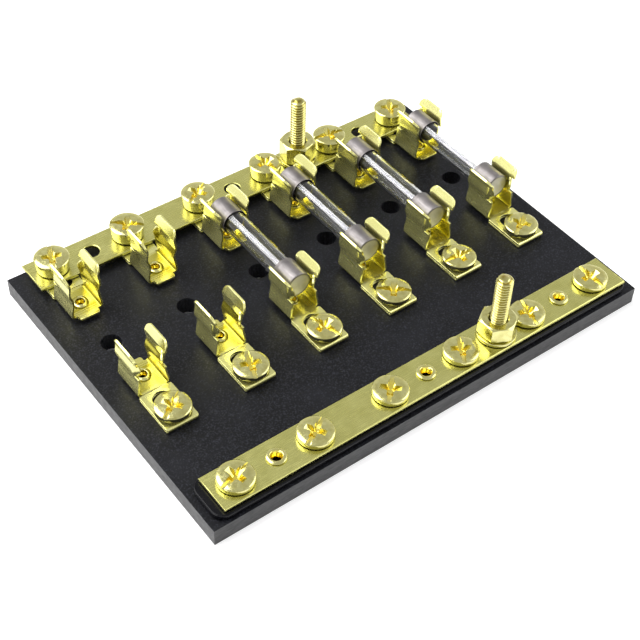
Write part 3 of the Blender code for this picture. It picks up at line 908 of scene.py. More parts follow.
class WoundTree(GrowingTree):
    """A tree that winds a flat grid into a long skin, closed at its seam.

    The grid is 1 by 1 about the origin: its X goes round the skin and its Y goes along it.
    """

    STEPS_PER_TURN: int

    def __init__(self, name: str, around: int, *labels: str) -> None:
        """Start the tree with its grid.

        Args:
            name: the tree's name.
            around: faces round the skin.
            labels: named inputs beside the material, the place and the rows of points.
        """
        super().__init__(name, "Material", "Place", "Rows", *labels)
        self.grid = self.sheet.add("GeometryNodeMeshGrid", {
            "Size X": 1.0, "Size Y": 1.0, "Vertices X": around + 1,
            "Vertices Y": self.entry["Rows"]}).outputs[0]
        spot = self.sheet.split(self.sheet.add("GeometryNodeInputPosition").outputs[0])
        self.across, self.along = spot["X"], spot["Y"]
        self.angle = self.sheet.math("MULTIPLY", self.across, 2 * math.pi)

    def rows(self, turns: float) -> int:
        """Return how many rows of points that many turns take."""
        return round(turns * self.STEPS_PER_TURN) + 1

    def wound(self, grid: Socket, place: tuple, offset: Any) -> Socket:
        """Set the grid's points, weld its seam and shade it smooth.

        Args:
            grid: the grid's geometry.
            place: X, Y and Z of each point.
            offset: how far the whole skin moves.

        Returns:
            The skin's geometry.
        """
        spots = self.sheet.add("ShaderNodeCombineXYZ", dict(enumerate(place)))
        skin = self.sheet.add("GeometryNodeSetPosition", {
            0: grid, "Position": spots.outputs[0], "Offset": offset})
        closed = self.sheet.add("GeometryNodeMergeByDistance",
                                {0: skin.outputs[0], "Distance": WELD})
        return self.sheet.add("GeometryNodeSetShadeSmooth", {0: closed.outputs[0]}).outputs[0]


class ThreadTree(WoundTree):
    """A screw thread by rule: a wound ridge on a shank with a domed tip, joined to a head."""

    AROUND = 36
    STEPS_PER_TURN = 8
    FLANK = (0.12, 0.88)
    FIRST_ROW = 1e-5

    def __init__(self) -> None:
        """Build the tree."""
        super().__init__("threaded shank", self.AROUND, "Head", "Turn", "Radius", "Depth", "Pitch",
                         "Low", "High", "Dome")
        sheet, calc, entry = self.sheet, self.sheet.math, self.entry
        share = calc("ADD", self.along, 0.5)
        length = calc("SUBTRACT", entry["High"], entry["Low"])
        height = calc("MULTIPLY_ADD", share, length, entry["Low"])
        wind = calc("SUBTRACT", calc("DIVIDE", height, entry["Pitch"]), self.across)
        saw = calc("ABSOLUTE", calc("MULTIPLY_ADD", calc("FRACT", wind), 2.0, -1.0))
        groove = sheet.fitted(saw, self.FLANK, (0.0, 1.0))
        thread = calc("SUBTRACT", entry["Radius"], calc("MULTIPLY", groove, entry["Depth"]))
        over = calc("DIVIDE", calc("SUBTRACT", entry["High"], height), entry["Dome"])
        rest = calc("SUBTRACT", 1.0, calc("MINIMUM", over, 1.0))
        dome = calc("SQRT", calc("SUBTRACT", 1.0, calc("MULTIPLY", rest, rest)))
        open_rows = calc("GREATER_THAN", share, self.FIRST_ROW)
        radius = calc("MULTIPLY", calc("MULTIPLY", thread, dome), open_rows)
        # The groove share is stored as painted shade: the thread's roots are painted darker.
        noted = sheet.add("GeometryNodeStoreNamedAttribute",
                          {0: self.grid, "Name": PAINTED_SHADE, "Value": groove})
        place = (*(calc("MULTIPLY", radius, calc(wave, self.angle)) for wave in ("COSINE", "SINE")),
                 height)
        shank = self.wound(noted.outputs[0], place, (0.0, 0.0, 0.0))
        head = sheet.add("GeometryNodeObjectInfo", {"Object": entry["Head"]})
        joined = sheet.add("GeometryNodeJoinGeometry")
        for part in (shank, head.outputs["Geometry"]):
            sheet.feed(joined, {0: part})
        spin = sheet.add("ShaderNodeCombineXYZ", {2: entry["Turn"]})
        placed = sheet.add("GeometryNodeTransform", {
            0: joined.outputs[0], "Translation": entry["Place"], "Rotation": spin.outputs[0]})
        self.close(placed.outputs[0])


class TwistTree(WoundTree):
    """A flat wire twisted about the fuse's axis, which lies along Y."""

    AROUND = 14
    STEPS_PER_TURN = 14
    INNER_ROWS = 0.49999

    def __init__(self) -> None:
        """Build the tree."""
        super().__init__("twisted wire", self.AROUND, "Width", "Thickness", "Half", "Turns")
        calc, entry = self.sheet.math, self.entry
        along = calc("MULTIPLY", self.along, calc("MULTIPLY", entry["Half"], 2.0))
        inside = calc("LESS_THAN", calc("ABSOLUTE", self.along), self.INNER_ROWS)
        wide, thick = (calc("MULTIPLY", calc("MULTIPLY", calc(wave, self.angle), 0.5),
                            calc("MULTIPLY", entry[size], inside))
                       for wave, size in (("COSINE", "Width"), ("SINE", "Thickness")))
        twist = calc("MULTIPLY", calc("MULTIPLY", entry["Turns"], 2 * math.pi), self.along)
        sine, cosine = calc("SINE", twist), calc("COSINE", twist)
        across = calc("SUBTRACT", calc("MULTIPLY", wide, cosine), calc("MULTIPLY", thick, sine))
        upward = calc("ADD", calc("MULTIPLY", wide, sine), calc("MULTIPLY", thick, cosine))
        self.close(self.wound(self.grid, (across, along, upward), entry["Place"]))


class CopyTree(GrowingTree):
    """Sets one pattern on every point that it starts from."""

    def __init__(self) -> None:
        """Build the tree."""
        super().__init__("copies on places", "Material", "Pattern", "Turn")
        sheet, entry = self.sheet, self.entry
        pattern = sheet.add("GeometryNodeObjectInfo", {"Object": entry["Pattern"]})
        spin = sheet.add("ShaderNodeCombineXYZ", {2: entry["Turn"]})
        copies = sheet.add("GeometryNodeInstanceOnPoints", {
            "Points": entry["Geometry"], "Instance": pattern.outputs["Geometry"],
            "Rotation": spin.outputs[0]})
        self.close(copies.outputs[0])

    def copied(self, mesh: Mesh, material: bpy.types.Material, places: list[Vector],
               turn: float = 0.0) -> Mesh:
        """Set a mesh on every place.

        Args:
            mesh: the pattern.
            material: its material.
            places: where the copies stand.
            turn: how far each is turned, in degrees.

        Returns:
            All copies as one mesh.
        """
        pattern = linked("pattern", mesh)
        values = {"Material": material, "Pattern": pattern, "Turn": math.radians(turn)}
        grown = self.grow(values, places)
        bpy.data.objects.remove(pattern)
        return grown


@dataclass(frozen=True)
class Plates:
    """The board, its strip and the two bars."""

    bar_edge: float = 0.28 * MM
    strip_edge: float = 0.3 * MM
    strip_corner: float = 3.0 * MM
    screw_hole: float = 2.25 * MM
    rivet_hole: float = 1.6 * MM
    spare_hole: float = 2.0 * MM
    sharp: float = 50.0

    def holes(self, group: str, extra: float) -> list[list[Point]]:
        """Draw the holes of a bar or of the strip below it.

        Args:
            group: the bar's name, as its screws and its stud have it.
            extra: radius of the hole after every second row's screw.

        Returns:
            The holes' outlines.
        """
        stud = Spot.of(f"{group}_stud")
        screws = [Spot.of(f"{group}_screw_{row}") for row in range(1, ROWS + 1)]
        y = screws[0].y
        outlines = [circle(spot.x, y, self.screw_hole) for spot in (*screws, stud)]
        outlines += [circle((left.x + right.x) / 2, y, extra)
                     for left, right in zip(screws[::2], screws[1::2])]
        return outlines

    def build(self, bench: Bench, nodes: dict[str, Item]) -> None:
        """Make the flat pieces.

        Args:
            bench: finishes the pieces.
            nodes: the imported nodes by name.
        """
        bench.dress(nodes["base_board"], Slot.BOARD)
        low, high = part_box("insulator_strip")
        outline = rounded_box(low.x, high.x, low.y, high.y, self.strip_corner)
        strip = plate([outline] + self.holes("ground", self.rivet_hole), low.z, high.z,
                      self.strip_edge)
        bench.piece("strip_moulding", polished(strip, self.sharp), Slot.STRIP, BLOCK,
                    "insulator_strip")
        for group, extra in (("ground", self.rivet_hole), ("feed", self.spare_hole)):
            low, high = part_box(f"{group}_bus_bar")
            outline = [(low.x, low.y), (high.x, low.y), (high.x, high.y), (low.x, high.y)]
            bar = plate([outline] + self.holes(group, extra), low.z, high.z, self.bar_edge)
            bench.piece(f"{group}_bar_rolled", polished(bar, self.sharp), Slot.BAR, BLOCK,
                        f"{group}_bus_bar")


@dataclass(frozen=True)
class FoldWays:
    """How the clip's sheet runs: distances along it, places, inner normals, and the axis."""

    lengths: list[float]
    path: list[Vector]
    normals: list[Vector]
    axis: float

    def at(self, distance: float) -> tuple[Vector, Vector]:
        """Find a place on the path.

        Args:
            distance: how far along the sheet it lies.

        Returns:
            The place and the inner normal there.
        """
        for index, (before, after) in enumerate(zip(self.lengths, self.lengths[1:])):
            if distance <= after:
                share = (distance - before) / (after - before)
                place = self.path[index].lerp(self.path[index + 1], share)
                normal = self.normals[index].lerp(self.normals[index + 1], share).normalized()
                return place, normal
        return self.path[-1], self.normals[-1]


@dataclass(frozen=True)
class SpringClip:
    """A clip folded from one blank: U with two arms, end stops, and a terminal folded under.

    The blank is flat, with s across it from the floor's middle and v along the clip from the
    middle of the fuse. It is cut with eased edges and then bent along its fold lines.
    """

    sheet: float = 0.55 * MM
    edge: float = 0.075 * MM
    width: float = 8.0 * MM
    foot_bend: float = 0.725 * MM
    waist: Point = (2.95 * MM, -2.3 * MM)
    seat: Point = (3.55 * MM, 0.0)
    throat: Point = (3.275 * MM, 2.45 * MM)
    flange_bend: float = 0.8 * MM
    flange: float = 1.7 * MM
    flange_angle: float = 36.0
    empty_flange: float = 2.3 * MM
    empty_flange_angle: float = 16.0
    corner: float = 1.7 * MM
    inner: float = 9.85 * MM
    outer: float = 18.1 * MM
    root: float = 16.45 * MM
    stop_reach: float = 1.9 * MM
    stop_half: float = 1.95 * MM
    stop_bend: float = 0.55 * MM
    stop_angle: float = 52.0
    slit: float = 0.12 * MM
    shoulder: float = 18.4 * MM
    shoulder_corner: float = 0.4 * MM
    screw: float = 25.6 * MM
    end: float = 29.6 * MM
    slot_end: float = 21.55 * MM
    slot_radius: float = 2.25 * MM
    lip: Point = (2.5 * MM, 8.5 * MM)
    lip_corner: float = 0.6 * MM
    under_end: float = 9.8 * MM
    rivet: float = 13.4 * MM
    rivet_hole: float = 1.2 * MM
    fold_pinch: float = 0.05
    stack: float = 1.2 * MM
    base: float = 4.7 * MM
    axis: float = 12.7 * MM
    foot_steps: int = 8
    arm_steps: int = 7
    flange_steps: int = 6
    corner_steps: int = 6
    tip_steps: int = 10
    slot_steps: int = 20
    rivet_steps: int = 32
    stop_step: int = 12
    stop_bends: int = 5
    fold_bends: int = 10
    sharp: float = 50.0
    # The inner faces carry painted colour: warm bounce light on fused clips, shade on empty ones; the
    # U's floor gets a share of it.
    tint: str = PAINTED_LIGHT
    floor_painted_light: float = 0.4

    @property
    def fold_radius(self) -> float:
        """Radius of the sheet's middle round the fold."""
        return (self.stack - self.sheet) / 2

    @property
    def floor(self) -> float:
        """Height of the middle of the floor's sheet."""
        return self.base + self.stack - self.sheet / 2

    @property
    def fold(self) -> float:
        """Place where the fold starts."""
        return self.end - self.stack / 2

    @property
    def fold_length(self) -> float:
        """Length of the sheet's middle round the fold."""
        return math.pi * self.fold_radius

    def half_path(self) -> list[Vector]:
        """Walk along the sheet's middle from the floor's centre to a flange's tip.

        Returns:
            The points as (x, z).
        """
        half, foot = self.sheet / 2, self.width / 2 - self.sheet / 2
        path = [(0.0, self.floor)]
        path += arc((foot - self.foot_bend, self.floor + self.foot_bend), self.foot_bend, -90, 0,
                    self.foot_steps)
        for x, rise in (self.waist, self.seat, self.throat):
            start, end = path[-1], (x + half, self.axis + rise)
            for step in range(1, self.arm_steps + 1):
                share = step / self.arm_steps
                swing = share * share * (3 - 2 * share)
                path.append((start[0] + (end[0] - start[0]) * swing,
                             start[1] + (end[1] - start[1]) * share))
        path += arc((path[-1][0] + self.flange_bend, path[-1][1]), self.flange_bend, 180,
                    180 - self.flange_angle, self.flange_steps)[1:]
        lean = math.radians(self.flange_angle)
        last = path[-1]
        path.append((last[0] + self.flange * math.sin(lean), last[1] + self.flange * math.cos(lean)))
        return [Vector(point) for point in path]

    def ways(self) -> FoldWays:
        """Measure the sheet's path.

        Returns:
            How the sheet runs.
        """
        path = self.half_path()
        lengths = [0.0]
        for before, after in zip(path, path[1:]):
            lengths.append(lengths[-1] + (after - before).length)
        normals = []
        for index in range(len(path)):
            arms = [(path[i + 1] - path[i]).normalized() for i in (index - 1, index)
                    if 0 <= i < len(path) - 1]
            along = sum(arms, Vector((0, 0))).normalized()
            normals.append(Vector((-along.y, along.x)))
        below = max(index for index in range(self.foot_steps + 1, len(path) - 1)
                    if path[index].y <= self.axis)
        share = (self.axis - path[below].y) / (path[below + 1].y - path[below].y)
        axis = lengths[below] + share * (lengths[below + 1] - lengths[below])
        return FoldWays(lengths, path, normals, axis)

    def blank(self, ways: FoldWays) -> list[list[Point]]:
        """Draw the blank's outline and holes.

        Args:
            ways: how the sheet runs.

        Returns:
            Closed outlines in (s, v).
        """
        tip, flat = ways.lengths[-1], ways.lengths[1]
        rise = tip - ways.lengths[-self.flange_steps - 2]
        high, low = ways.axis + self.stop_half, ways.axis - self.stop_half
        half = self.width / 2
        mirror = 2 * self.fold + self.fold_length
        lip, lip_end = self.lip
        right = arc((lip - self.lip_corner, lip_end + self.lip_corner), self.lip_corner, -90, 0,
                    self.corner_steps)
        right += [(lip, self.inner)]
        for v, start in ((self.inner + self.corner, -90), (self.outer - self.corner, 0)):
            right += arc((tip - rise, v), (rise, self.corner), start, start + 90, self.tip_steps)
        right += [(high + self.slit, self.outer), (high + self.slit, self.root)]
        right += [(ways.axis + self.stop_half * math.cos(math.radians(angle)),
                   self.root + self.stop_reach * math.sin(math.radians(angle)))
                  for angle in range(0, 181, self.stop_step)]
        right += [(low - self.slit, self.root), (low - self.slit, self.outer)]
        shoulder = arc((half - self.shoulder_corner, self.shoulder + self.shoulder_corner),
                       self.shoulder_corner, -90, 0, self.corner_steps)
        right += [(flat, self.outer), (flat, self.shoulder)] + shoulder
        under = [(s, mirror - v) for s, v in reversed(shoulder)]
        right += under + [(lip, mirror - self.shoulder), (lip, mirror - self.under_end)]
        outline = right + [(-s, v) for s, v in reversed(right)]
        slot = []
        for v, start in ((self.screw, 0), (self.slot_end, 180)):
            slot += arc((0, v), self.slot_radius, start, start + 180, self.slot_steps)
        below = [(s, mirror - v) for s, v in reversed(slot)]
        rivets = [circle(0, v, self.rivet_hole, self.rivet_steps)
                  for v in (self.rivet, mirror - self.rivet)]
        return [outline, slot, below] + rivets

    def folded_under(self, s: float, v: float, w: float) -> Vector:
        """Place a point of the terminal's fold or of the layer below it.

        Args:
            s: its place across the blank.
            v: its place along the blank, past the fold's start.
            w: its height above the sheet's middle.

        Returns:
            Where it goes.
        """
        angle = min((v - self.fold) / self.fold_radius, math.pi)
        past = max(v - self.fold - self.fold_length, 0.0)
        reach = self.fold_radius + w
        pinch = 1 - self.fold_pinch * math.sin(angle)
        return Vector((s * pinch, self.fold + reach * math.sin(angle) - past,
                       self.floor - self.fold_radius + reach * math.cos(angle)))

    def bent(self, point: Vector, ways: FoldWays) -> Vector:
        """Fold one point of the blank.

        Args:
            point: its s and v, and its height above the sheet's middle.
            ways: how the sheet runs.

        Returns:
            Where it goes.
        """
        s, v, w = point
        if v > self.fold:
            return self.folded_under(s, v, w)
        if v > self.outer + self.edge and abs(s) < self.width:
            return Vector((s, v, self.floor + w))
        place, normal = ways.at(abs(s))
        inward, along = w, v
        if v > self.root and abs(abs(s) - ways.axis) < self.stop_half + self.slit / 2:
            angle = min((v - self.root) / self.stop_bend, math.radians(self.stop_angle))
            past = v - self.root - angle * self.stop_bend
            inward = (self.stop_bend - (self.stop_bend - w) * math.cos(angle)
                      + past * math.sin(angle))
            along = self.root + (self.stop_bend - w) * math.sin(angle) + past * math.cos(angle)
        spot = place + normal * inward
        return Vector((math.copysign(1.0, s) * spot.x, along, spot.y))

    def mesh(self) -> Mesh:
        """Cut the blank, score it along its fold lines and fold it.

        Returns:
            The folded clip, its arms and terminal along +Y.
        """
        ways = self.ways()
        flat = plate(self.blank(ways), -self.sheet / 2, self.sheet / 2, self.edge)
        shape = bmesh.new()
        shape.from_mesh(flat)
        bends = [(side * length, 0) for length in ways.lengths[1:-1] for side in (1, -1)]
        stop_length = self.stop_bend * math.radians(self.stop_angle)
        for start, length, steps in ((self.root, stop_length, self.stop_bends),
                                     (self.fold, self.fold_length, self.fold_bends)):
            bends += [(start + step * length / steps, 1) for step in range(steps + 1)]
        for place, direction in bends:
            spot, way = Vector((0, 0, 0)), Vector((0, 0, 0))
            spot[direction], way[direction] = place, 1.0
            bmesh.ops.bisect_plane(shape, geom=shape.verts[:] + shape.edges[:] + shape.faces[:],
                                   dist=DOUBLE, plane_co=spot, plane_no=way)
        # Mark the inner faces for painted light: full on the arms, a share on the floor.
        depth = shape.verts.layers.float.new(self.tint)
        for vertex in shape.verts:
            s, v, w = vertex.co
            inside = w > 0 and abs(s) < ways.axis and v < self.outer
            on_arm = abs(s) > ways.lengths[1]
            vertex[depth] = (1.0 if on_arm else self.floor_painted_light) if inside else 0.0
            vertex.co = self.bent(vertex.co.copy(), ways)
        bmesh.ops.recalc_face_normals(shape, faces=shape.faces)
        return polished(meshed(shape, "clip"), self.sharp)

    def build(self, bench: Bench) -> list[Vector]:
        """Make the twelve clips; those without a fuse have longer and more upright flanges, and
        painted shade inside where the fused ones have painted bounce light.

        Args:
            bench: finishes the pieces.

        Returns:
            The places of their rivets.
        """
        empty = replace(self, flange=self.empty_flange, flange_angle=self.empty_flange_angle,
                        tint=PAINTED_SHADE)
        patterns = {True: self.mesh(), False: empty.mesh()}
        rivets = []
        for row in range(1, ROWS + 1):
            load, feed = Spot.of(f"load_screw_{row}"), Spot.of(f"feed_screw_{row}")
            middle = (load.y + feed.y) / 2
            for group, turn in (("load", math.pi), ("feed", 0.0)):
                mesh = patterns[row in FUSED_ROWS].copy()
                place = Matrix.Translation((load.x, middle, 0)) @ Matrix.Rotation(turn, 4, "Z")
                mesh.transform(place)
                name = f"{group}_clip_{row}"
                bench.piece(f"{name}_folded", mesh, Slot.CLIP, BLOCK, name)
                rivets.append(place @ Vector((0, self.rivet, self.floor + self.sheet / 2)))
        return rivets


@dataclass(frozen=True)
class Eyelets:
    """Hollow rivets with a curled flange, in the clips and in the ground bar."""

    bore: float = 0.7 * MM
    wall: float = 0.45 * MM
    flange: float = 1.9 * MM
    bar_flange: float = 2.25 * MM
    lift: float = 0.02 * MM
    rise: float = 0.5 * MM
    rim: float = 0.35 * MM
    curl: float = 0.55 * MM
    crest: float = 0.3 * MM
    lead: Point = (0.35 * MM, 0.1 * MM)
    throat: float = 0.9 * MM
    depth: float = 1.7 * MM
    ease: float = 0.2 * MM
    ease_steps: int = 4
    steps: int = 36
    sharp: float = 60.0
    painted_light_start: float = 0.2 * MM
    painted_light_width: float = 0.3 * MM
    numbers: tuple[int, ...] = (1, 2, 3)

    def head(self, flange: float) -> Mesh:
        """Make one eyelet's upper end.

        Args:
            flange: radius of its flange.

        Returns:
            Its mesh, standing on z = 0.
        """
        neck = self.bore + self.wall
        crest = flange - self.curl
        line = [(neck, -self.depth), (neck, self.lift), (flange, self.lift), (flange, self.rim),
                (crest, self.rise), (crest - self.crest, self.rise),
                (self.bore + self.lead[0], -self.lead[1]), (self.bore, -self.throat),
                (self.bore, -self.depth), (neck, -self.depth)]
        mesh = turned(eased(line, self.ease, self.ease_steps), self.steps, "eyelet")
        # Inside the crest the hollow gets painted warm bounce light.
        edge = crest - self.painted_light_start
        return marked(polished(mesh, self.sharp),
                      lambda spot: (edge - math.hypot(spot.x, spot.y)) / self.painted_light_width)

    def build(self, bench: Bench, tree: CopyTree, clips: list[Vector]) -> None:
        """Set the eyelets of the clips and of the ground bar.

        Args:
            bench: finishes the pieces.
            tree: sets the copies.
            clips: places of the clips' rivets.
        """
        bar = [f"ground_bar_eyelet_{number}" for number in self.numbers]
        spots = [Spot.of(node) for node in bar]
        seats = [Vector((spot.x, spot.y, spot.high - self.rise)) for spot in spots]
        for name, flange, places, nodes in (("clip_eyelets", self.flange, clips, []),
                                            ("ground_bar_eyelets", self.bar_flange, seats, bar)):
            mesh = tree.copied(self.head(flange), bench.materials[Slot.SCREW], places)
            bench.piece(name, mesh, Slot.SCREW, BLOCK, *nodes)


@dataclass(frozen=True)
class TerminalScrew:
    """A round head with a slot across it and a cross recess, on a threaded shank."""

    radius: float = 4.1 * MM
    height: float = 1.6 * MM
    edge: float = 0.5 * MM
    foot: float = 4.1 * MM
    deep_height: float = 3.6 * MM
    deep_foot: float = 3.75 * MM
    crown: tuple[Point, ...] = ((0.45, 0.04 * MM), (0.80, 0.17 * MM), (0.95, 0.33 * MM))
    crown_ease: float = 0.3 * MM
    crown_steps: int = 4
    foot_ease: float = 0.12 * MM
    steps: int = 64
    shank: float = 1.95 * MM
    thread_depth: float = 0.36 * MM
    pitch: float = 0.7 * MM
    length: float = 5.9 * MM
    sink: float = 0.05 * MM
    square_tip: float = 0.01 * MM
    clear: float = 0.5 * MM
    slot: Point = (0.95 * MM, 0.7 * MM)
    slot_taper: float = 0.85
    wing: Point = (5.3 * MM, 1.5 * MM)
    wing_foot: Point = (1.7 * MM, 0.7 * MM)
    wing_clear: float = 0.1 * MM
    cross_depth: float = 1.35 * MM
    core: Point = (1.6 * MM, 0.6 * MM)
    core_drop: float = 0.1 * MM
    core_steps: int = 8
    burr: float = 0.05 * MM
    burr_angle: float = 40.0
    painted_light_span: float = 0.85
    painted_light_depth: float = 0.3 * MM

    def head(self) -> Mesh:
        """Turn the head and cut its slot and its cross.

        Returns:
            The finished head, standing on z = 0.
        """
        dome = [(0.0, self.height)]
        dome += [(share * self.radius, self.height - drop) for share, drop in self.crown]
        dome += [(self.radius, self.height - self.edge)]
        line = eased(dome, self.crown_ease, self.crown_steps)
        line += eased([line[-1], (self.foot, 0.0), (self.shank, 0.0)], self.foot_ease)[1:]
        mesh = turned(line + [(0.0, 0.0)], self.steps, "head")
        top, bottom = self.height + self.clear, self.height - self.cross_depth
        long, wide = 2 * self.radius + self.clear, self.slot[0]
        mesh = cut(mesh, tapered((long, wide), (long, self.slot_taper * wide), top,
                                 self.height - self.slot[1]))
        for turn in (0.0, 90.0):
            wing = tapered(self.wing, self.wing_foot, self.height + self.wing_clear, bottom)
            wing.transform(Matrix.Rotation(math.radians(turn), 4, "Z"))
            mesh = cut(mesh, wing)
        deepest = bottom - self.core_drop
        core = [(0.0, top), (self.core[0], top), (self.core[1], deepest), (0.0, deepest)]
        mesh = self.deburred(cut(mesh, turned(core, self.core_steps, "core")))
        # The recess gets painted warm bounce light by its depth.
        return marked(mesh, self.depth_at)

    def deburred(self, mesh: Mesh) -> Mesh:
        """Ease the head's sharp edges and shade it.

        Args:
            mesh: the head as cut.

        Returns:
            The eased head.
        """
        item = linked("head", mesh)
        bevel = item.modifiers.new("ease", "BEVEL")
        bevel.width = self.burr
        bevel.segments = 2
        bevel.limit_method = "ANGLE"
        bevel.angle_limit = math.radians(self.burr_angle)
        bevel.use_clamp_overlap = True
        return polished(settled(item), self.burr_angle)

    def depth_at(self, spot: Vector) -> float:
        """Tell how deep a point of the head lies in its recess, which sets its share of painted warm
        bounce light.

        Args:
            spot: the point.

        Returns:
            0 on the crown, and 1 or more well below it.
        """
        span = math.hypot(spot.x, spot.y)
        if span >= self.painted_light_span * self.radius or spot.z <= self.burr:
            return 0.0
        share, drop = self.crown[1]
        crown = self.height - drop * (span / (share * self.radius)) ** 2
        return (crown - spot.z) / self.painted_light_depth

    def build(self, bench: Bench, tree: ThreadTree) -> None:
        """Make the eighteen terminal screws.

        Args:
            bench: finishes the pieces.
            tree: winds their threads.
        """
        deep = replace(self, height=self.deep_height, foot=self.deep_foot)
        for group in ScrewGroup:
            (deep if group.deep else self).row(bench, tree, group)

    def row(self, bench: Bench, tree: ThreadTree, group: ScrewGroup) -> None:
        """Make one row of screws, each on its own body.

        Args:
            bench: finishes the pieces.
            tree: winds their threads.
            group: the row.
        """
        head = linked("head_pattern", self.head())
        for row in range(1, ROWS + 1):
            node = group.node(row)
            spot = Spot.of(node)
            values = {
                "Material": bench.materials[Slot.SCREW], "Head": head,
                "Place": (spot.x, spot.y, spot.high - self.height), "Turn": group.turn(row),
                "Radius": self.shank, "Depth": self.thread_depth, "Pitch": self.pitch,
                "Low": -self.length, "High": self.sink, "Dome": self.square_tip,
                "Rows": tree.rows(self.length / self.pitch)}
            bench.piece(f"{node}_turned", tree.grow(values), Slot.SCREW, node, node)
        bpy.data.objects.remove(head)


@dataclass(frozen=True)
class StudSet:
    """A threaded stud with its washer and hexagon nut."""

    radius: float = 1.95 * MM
    pitch: float = 0.75 * MM
    depth: float = 0.5 * MM
    dome: float = 1.0 * MM
    head: Point = (3.6 * MM, 1.6 * MM)
    head_ease: float = 0.2 * MM
    head_steps: int = 48
    overlap: float = 0.4 * MM
    washer: Point = (4.6 * MM, 2.25 * MM)
    washer_edge: float = 0.12 * MM
    washer_steps: int = 64
    sharp: float = 50.0
    flats: float = 8.0 * MM
    bore: float = 2.15 * MM
    lead: float = 0.3 * MM
    chamfer: float = 30.0
    chamfer_start: float = 0.96
    chamfer_rings: tuple[float, ...] = (0.0, 0.5, 1.0)
    nut_steps: int = 72
    nut_sharp: float = 24.0

    def hexagon(self, share: float, end: float, way: int) -> list[Vector]:
        """Draw one ring of a nut's chamfer.

        Args:
            share: 0 where the chamfer starts, 1 on the flats and corners.
            end: height of the nut's end that the chamfer belongs to.
            way: 1 at the top and -1 at the bottom.

        Returns:
            The ring's points.
        """
        start = self.flats / 2 * self.chamfer_start
        points = []
        for step in range(self.nut_steps):
            angle = 2 * math.pi * step / self.nut_steps
            within = (angle + math.pi / 6) % (math.pi / 3) - math.pi / 6
            span = start + (self.flats / 2 / math.cos(within) - start) * share
            drop = (span - start) * math.tan(math.radians(self.chamfer))
            points.append(Vector((span * math.cos(angle), span * math.sin(angle), end - way * drop)))
        return points

    def nut(self, height: float) -> Mesh:
        """Make a hexagon nut, chamfered at both ends by rule.

        Args:
            height: the nut's height.

        Returns:
            Its mesh, standing on z = 0.
        """
        bore, lead = self.bore, self.lead
        rings = [ring(radius, z, self.nut_steps) for radius, z in (
            (bore, height / 2), (bore, height - lead), (bore + lead, height))]
        rings += [self.hexagon(share, height, 1) for share in self.chamfer_rings]
        rings += [self.hexagon(share, 0.0, -1) for share in reversed(self.chamfer_rings)]
        rings += [ring(radius, z, self.nut_steps) for radius, z in (
            (bore + lead, 0.0), (bore, lead), (bore, height / 2))]
        return polished(skinned(rings, "nut"), self.nut_sharp)

    def stud(self, bench: Bench, tree: ThreadTree, name: str) -> None:
        """Make one stud.

        Args:
            bench: finishes the piece.
            tree: winds its thread.
            name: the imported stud's name.
        """
        radius, thick = self.head
        line = eased([(0.0, thick), (radius, thick), (radius, 0.0), (0.0, 0.0)], self.head_ease)
        head = linked("head_pattern", polished(turned(line, self.head_steps), self.sharp))
        spot = Spot.of(name)
        length = spot.high - spot.low
        values = {
            "Material": bench.materials[Slot.SCREW], "Head": head,
            "Place": (spot.x, spot.y, spot.low), "Turn": 0.0, "Radius": self.radius,
            "Depth": self.depth, "Pitch": self.pitch, "Low": self.overlap, "High": length,
            "Dome": self.dome, "Rows": tree.rows(length / self.pitch)}
        bench.piece(f"{name}_threaded", tree.grow(values), Slot.SCREW, BLOCK, name)
        bpy.data.objects.remove(head)

    def build(self, bench: Bench, threads: ThreadTree, copies: CopyTree) -> None:
        """Make both studs with what stands on them.

        Args:
            bench: finishes the pieces.
            threads: winds the studs' threads.
            copies: sets the washers and nuts in place.
        """
        outer, inner = self.washer
        for group in StudGroup:
            label, nut_turn = group.value
            name = f"{label}_stud"
            self.stud(bench, threads, name)
            washer, nut = Spot.of(f"{name}_washer"), Spot.of(f"{name}_nut")
            outlines = [circle(0, 0, outer, self.washer_steps), circle(0, 0, inner)]
            flat = plate(outlines, 0, washer.high - washer.low, self.washer_edge)
            for piece, mesh, spot, turn, body in (
                    (f"{name}_washer", polished(flat, self.sharp), washer, 0.0, BLOCK),
                    (f"{name}_nut", self.nut(nut.high - nut.low), nut, nut_turn, f"{name}_nut")):
                place = Vector((spot.x, spot.y, spot.low))
                grown = copies.copied(mesh, bench.materials[Slot.SCREW], [place], turn)
                bench.piece(f"{piece}_bright", grown, Slot.SCREW, body, piece)


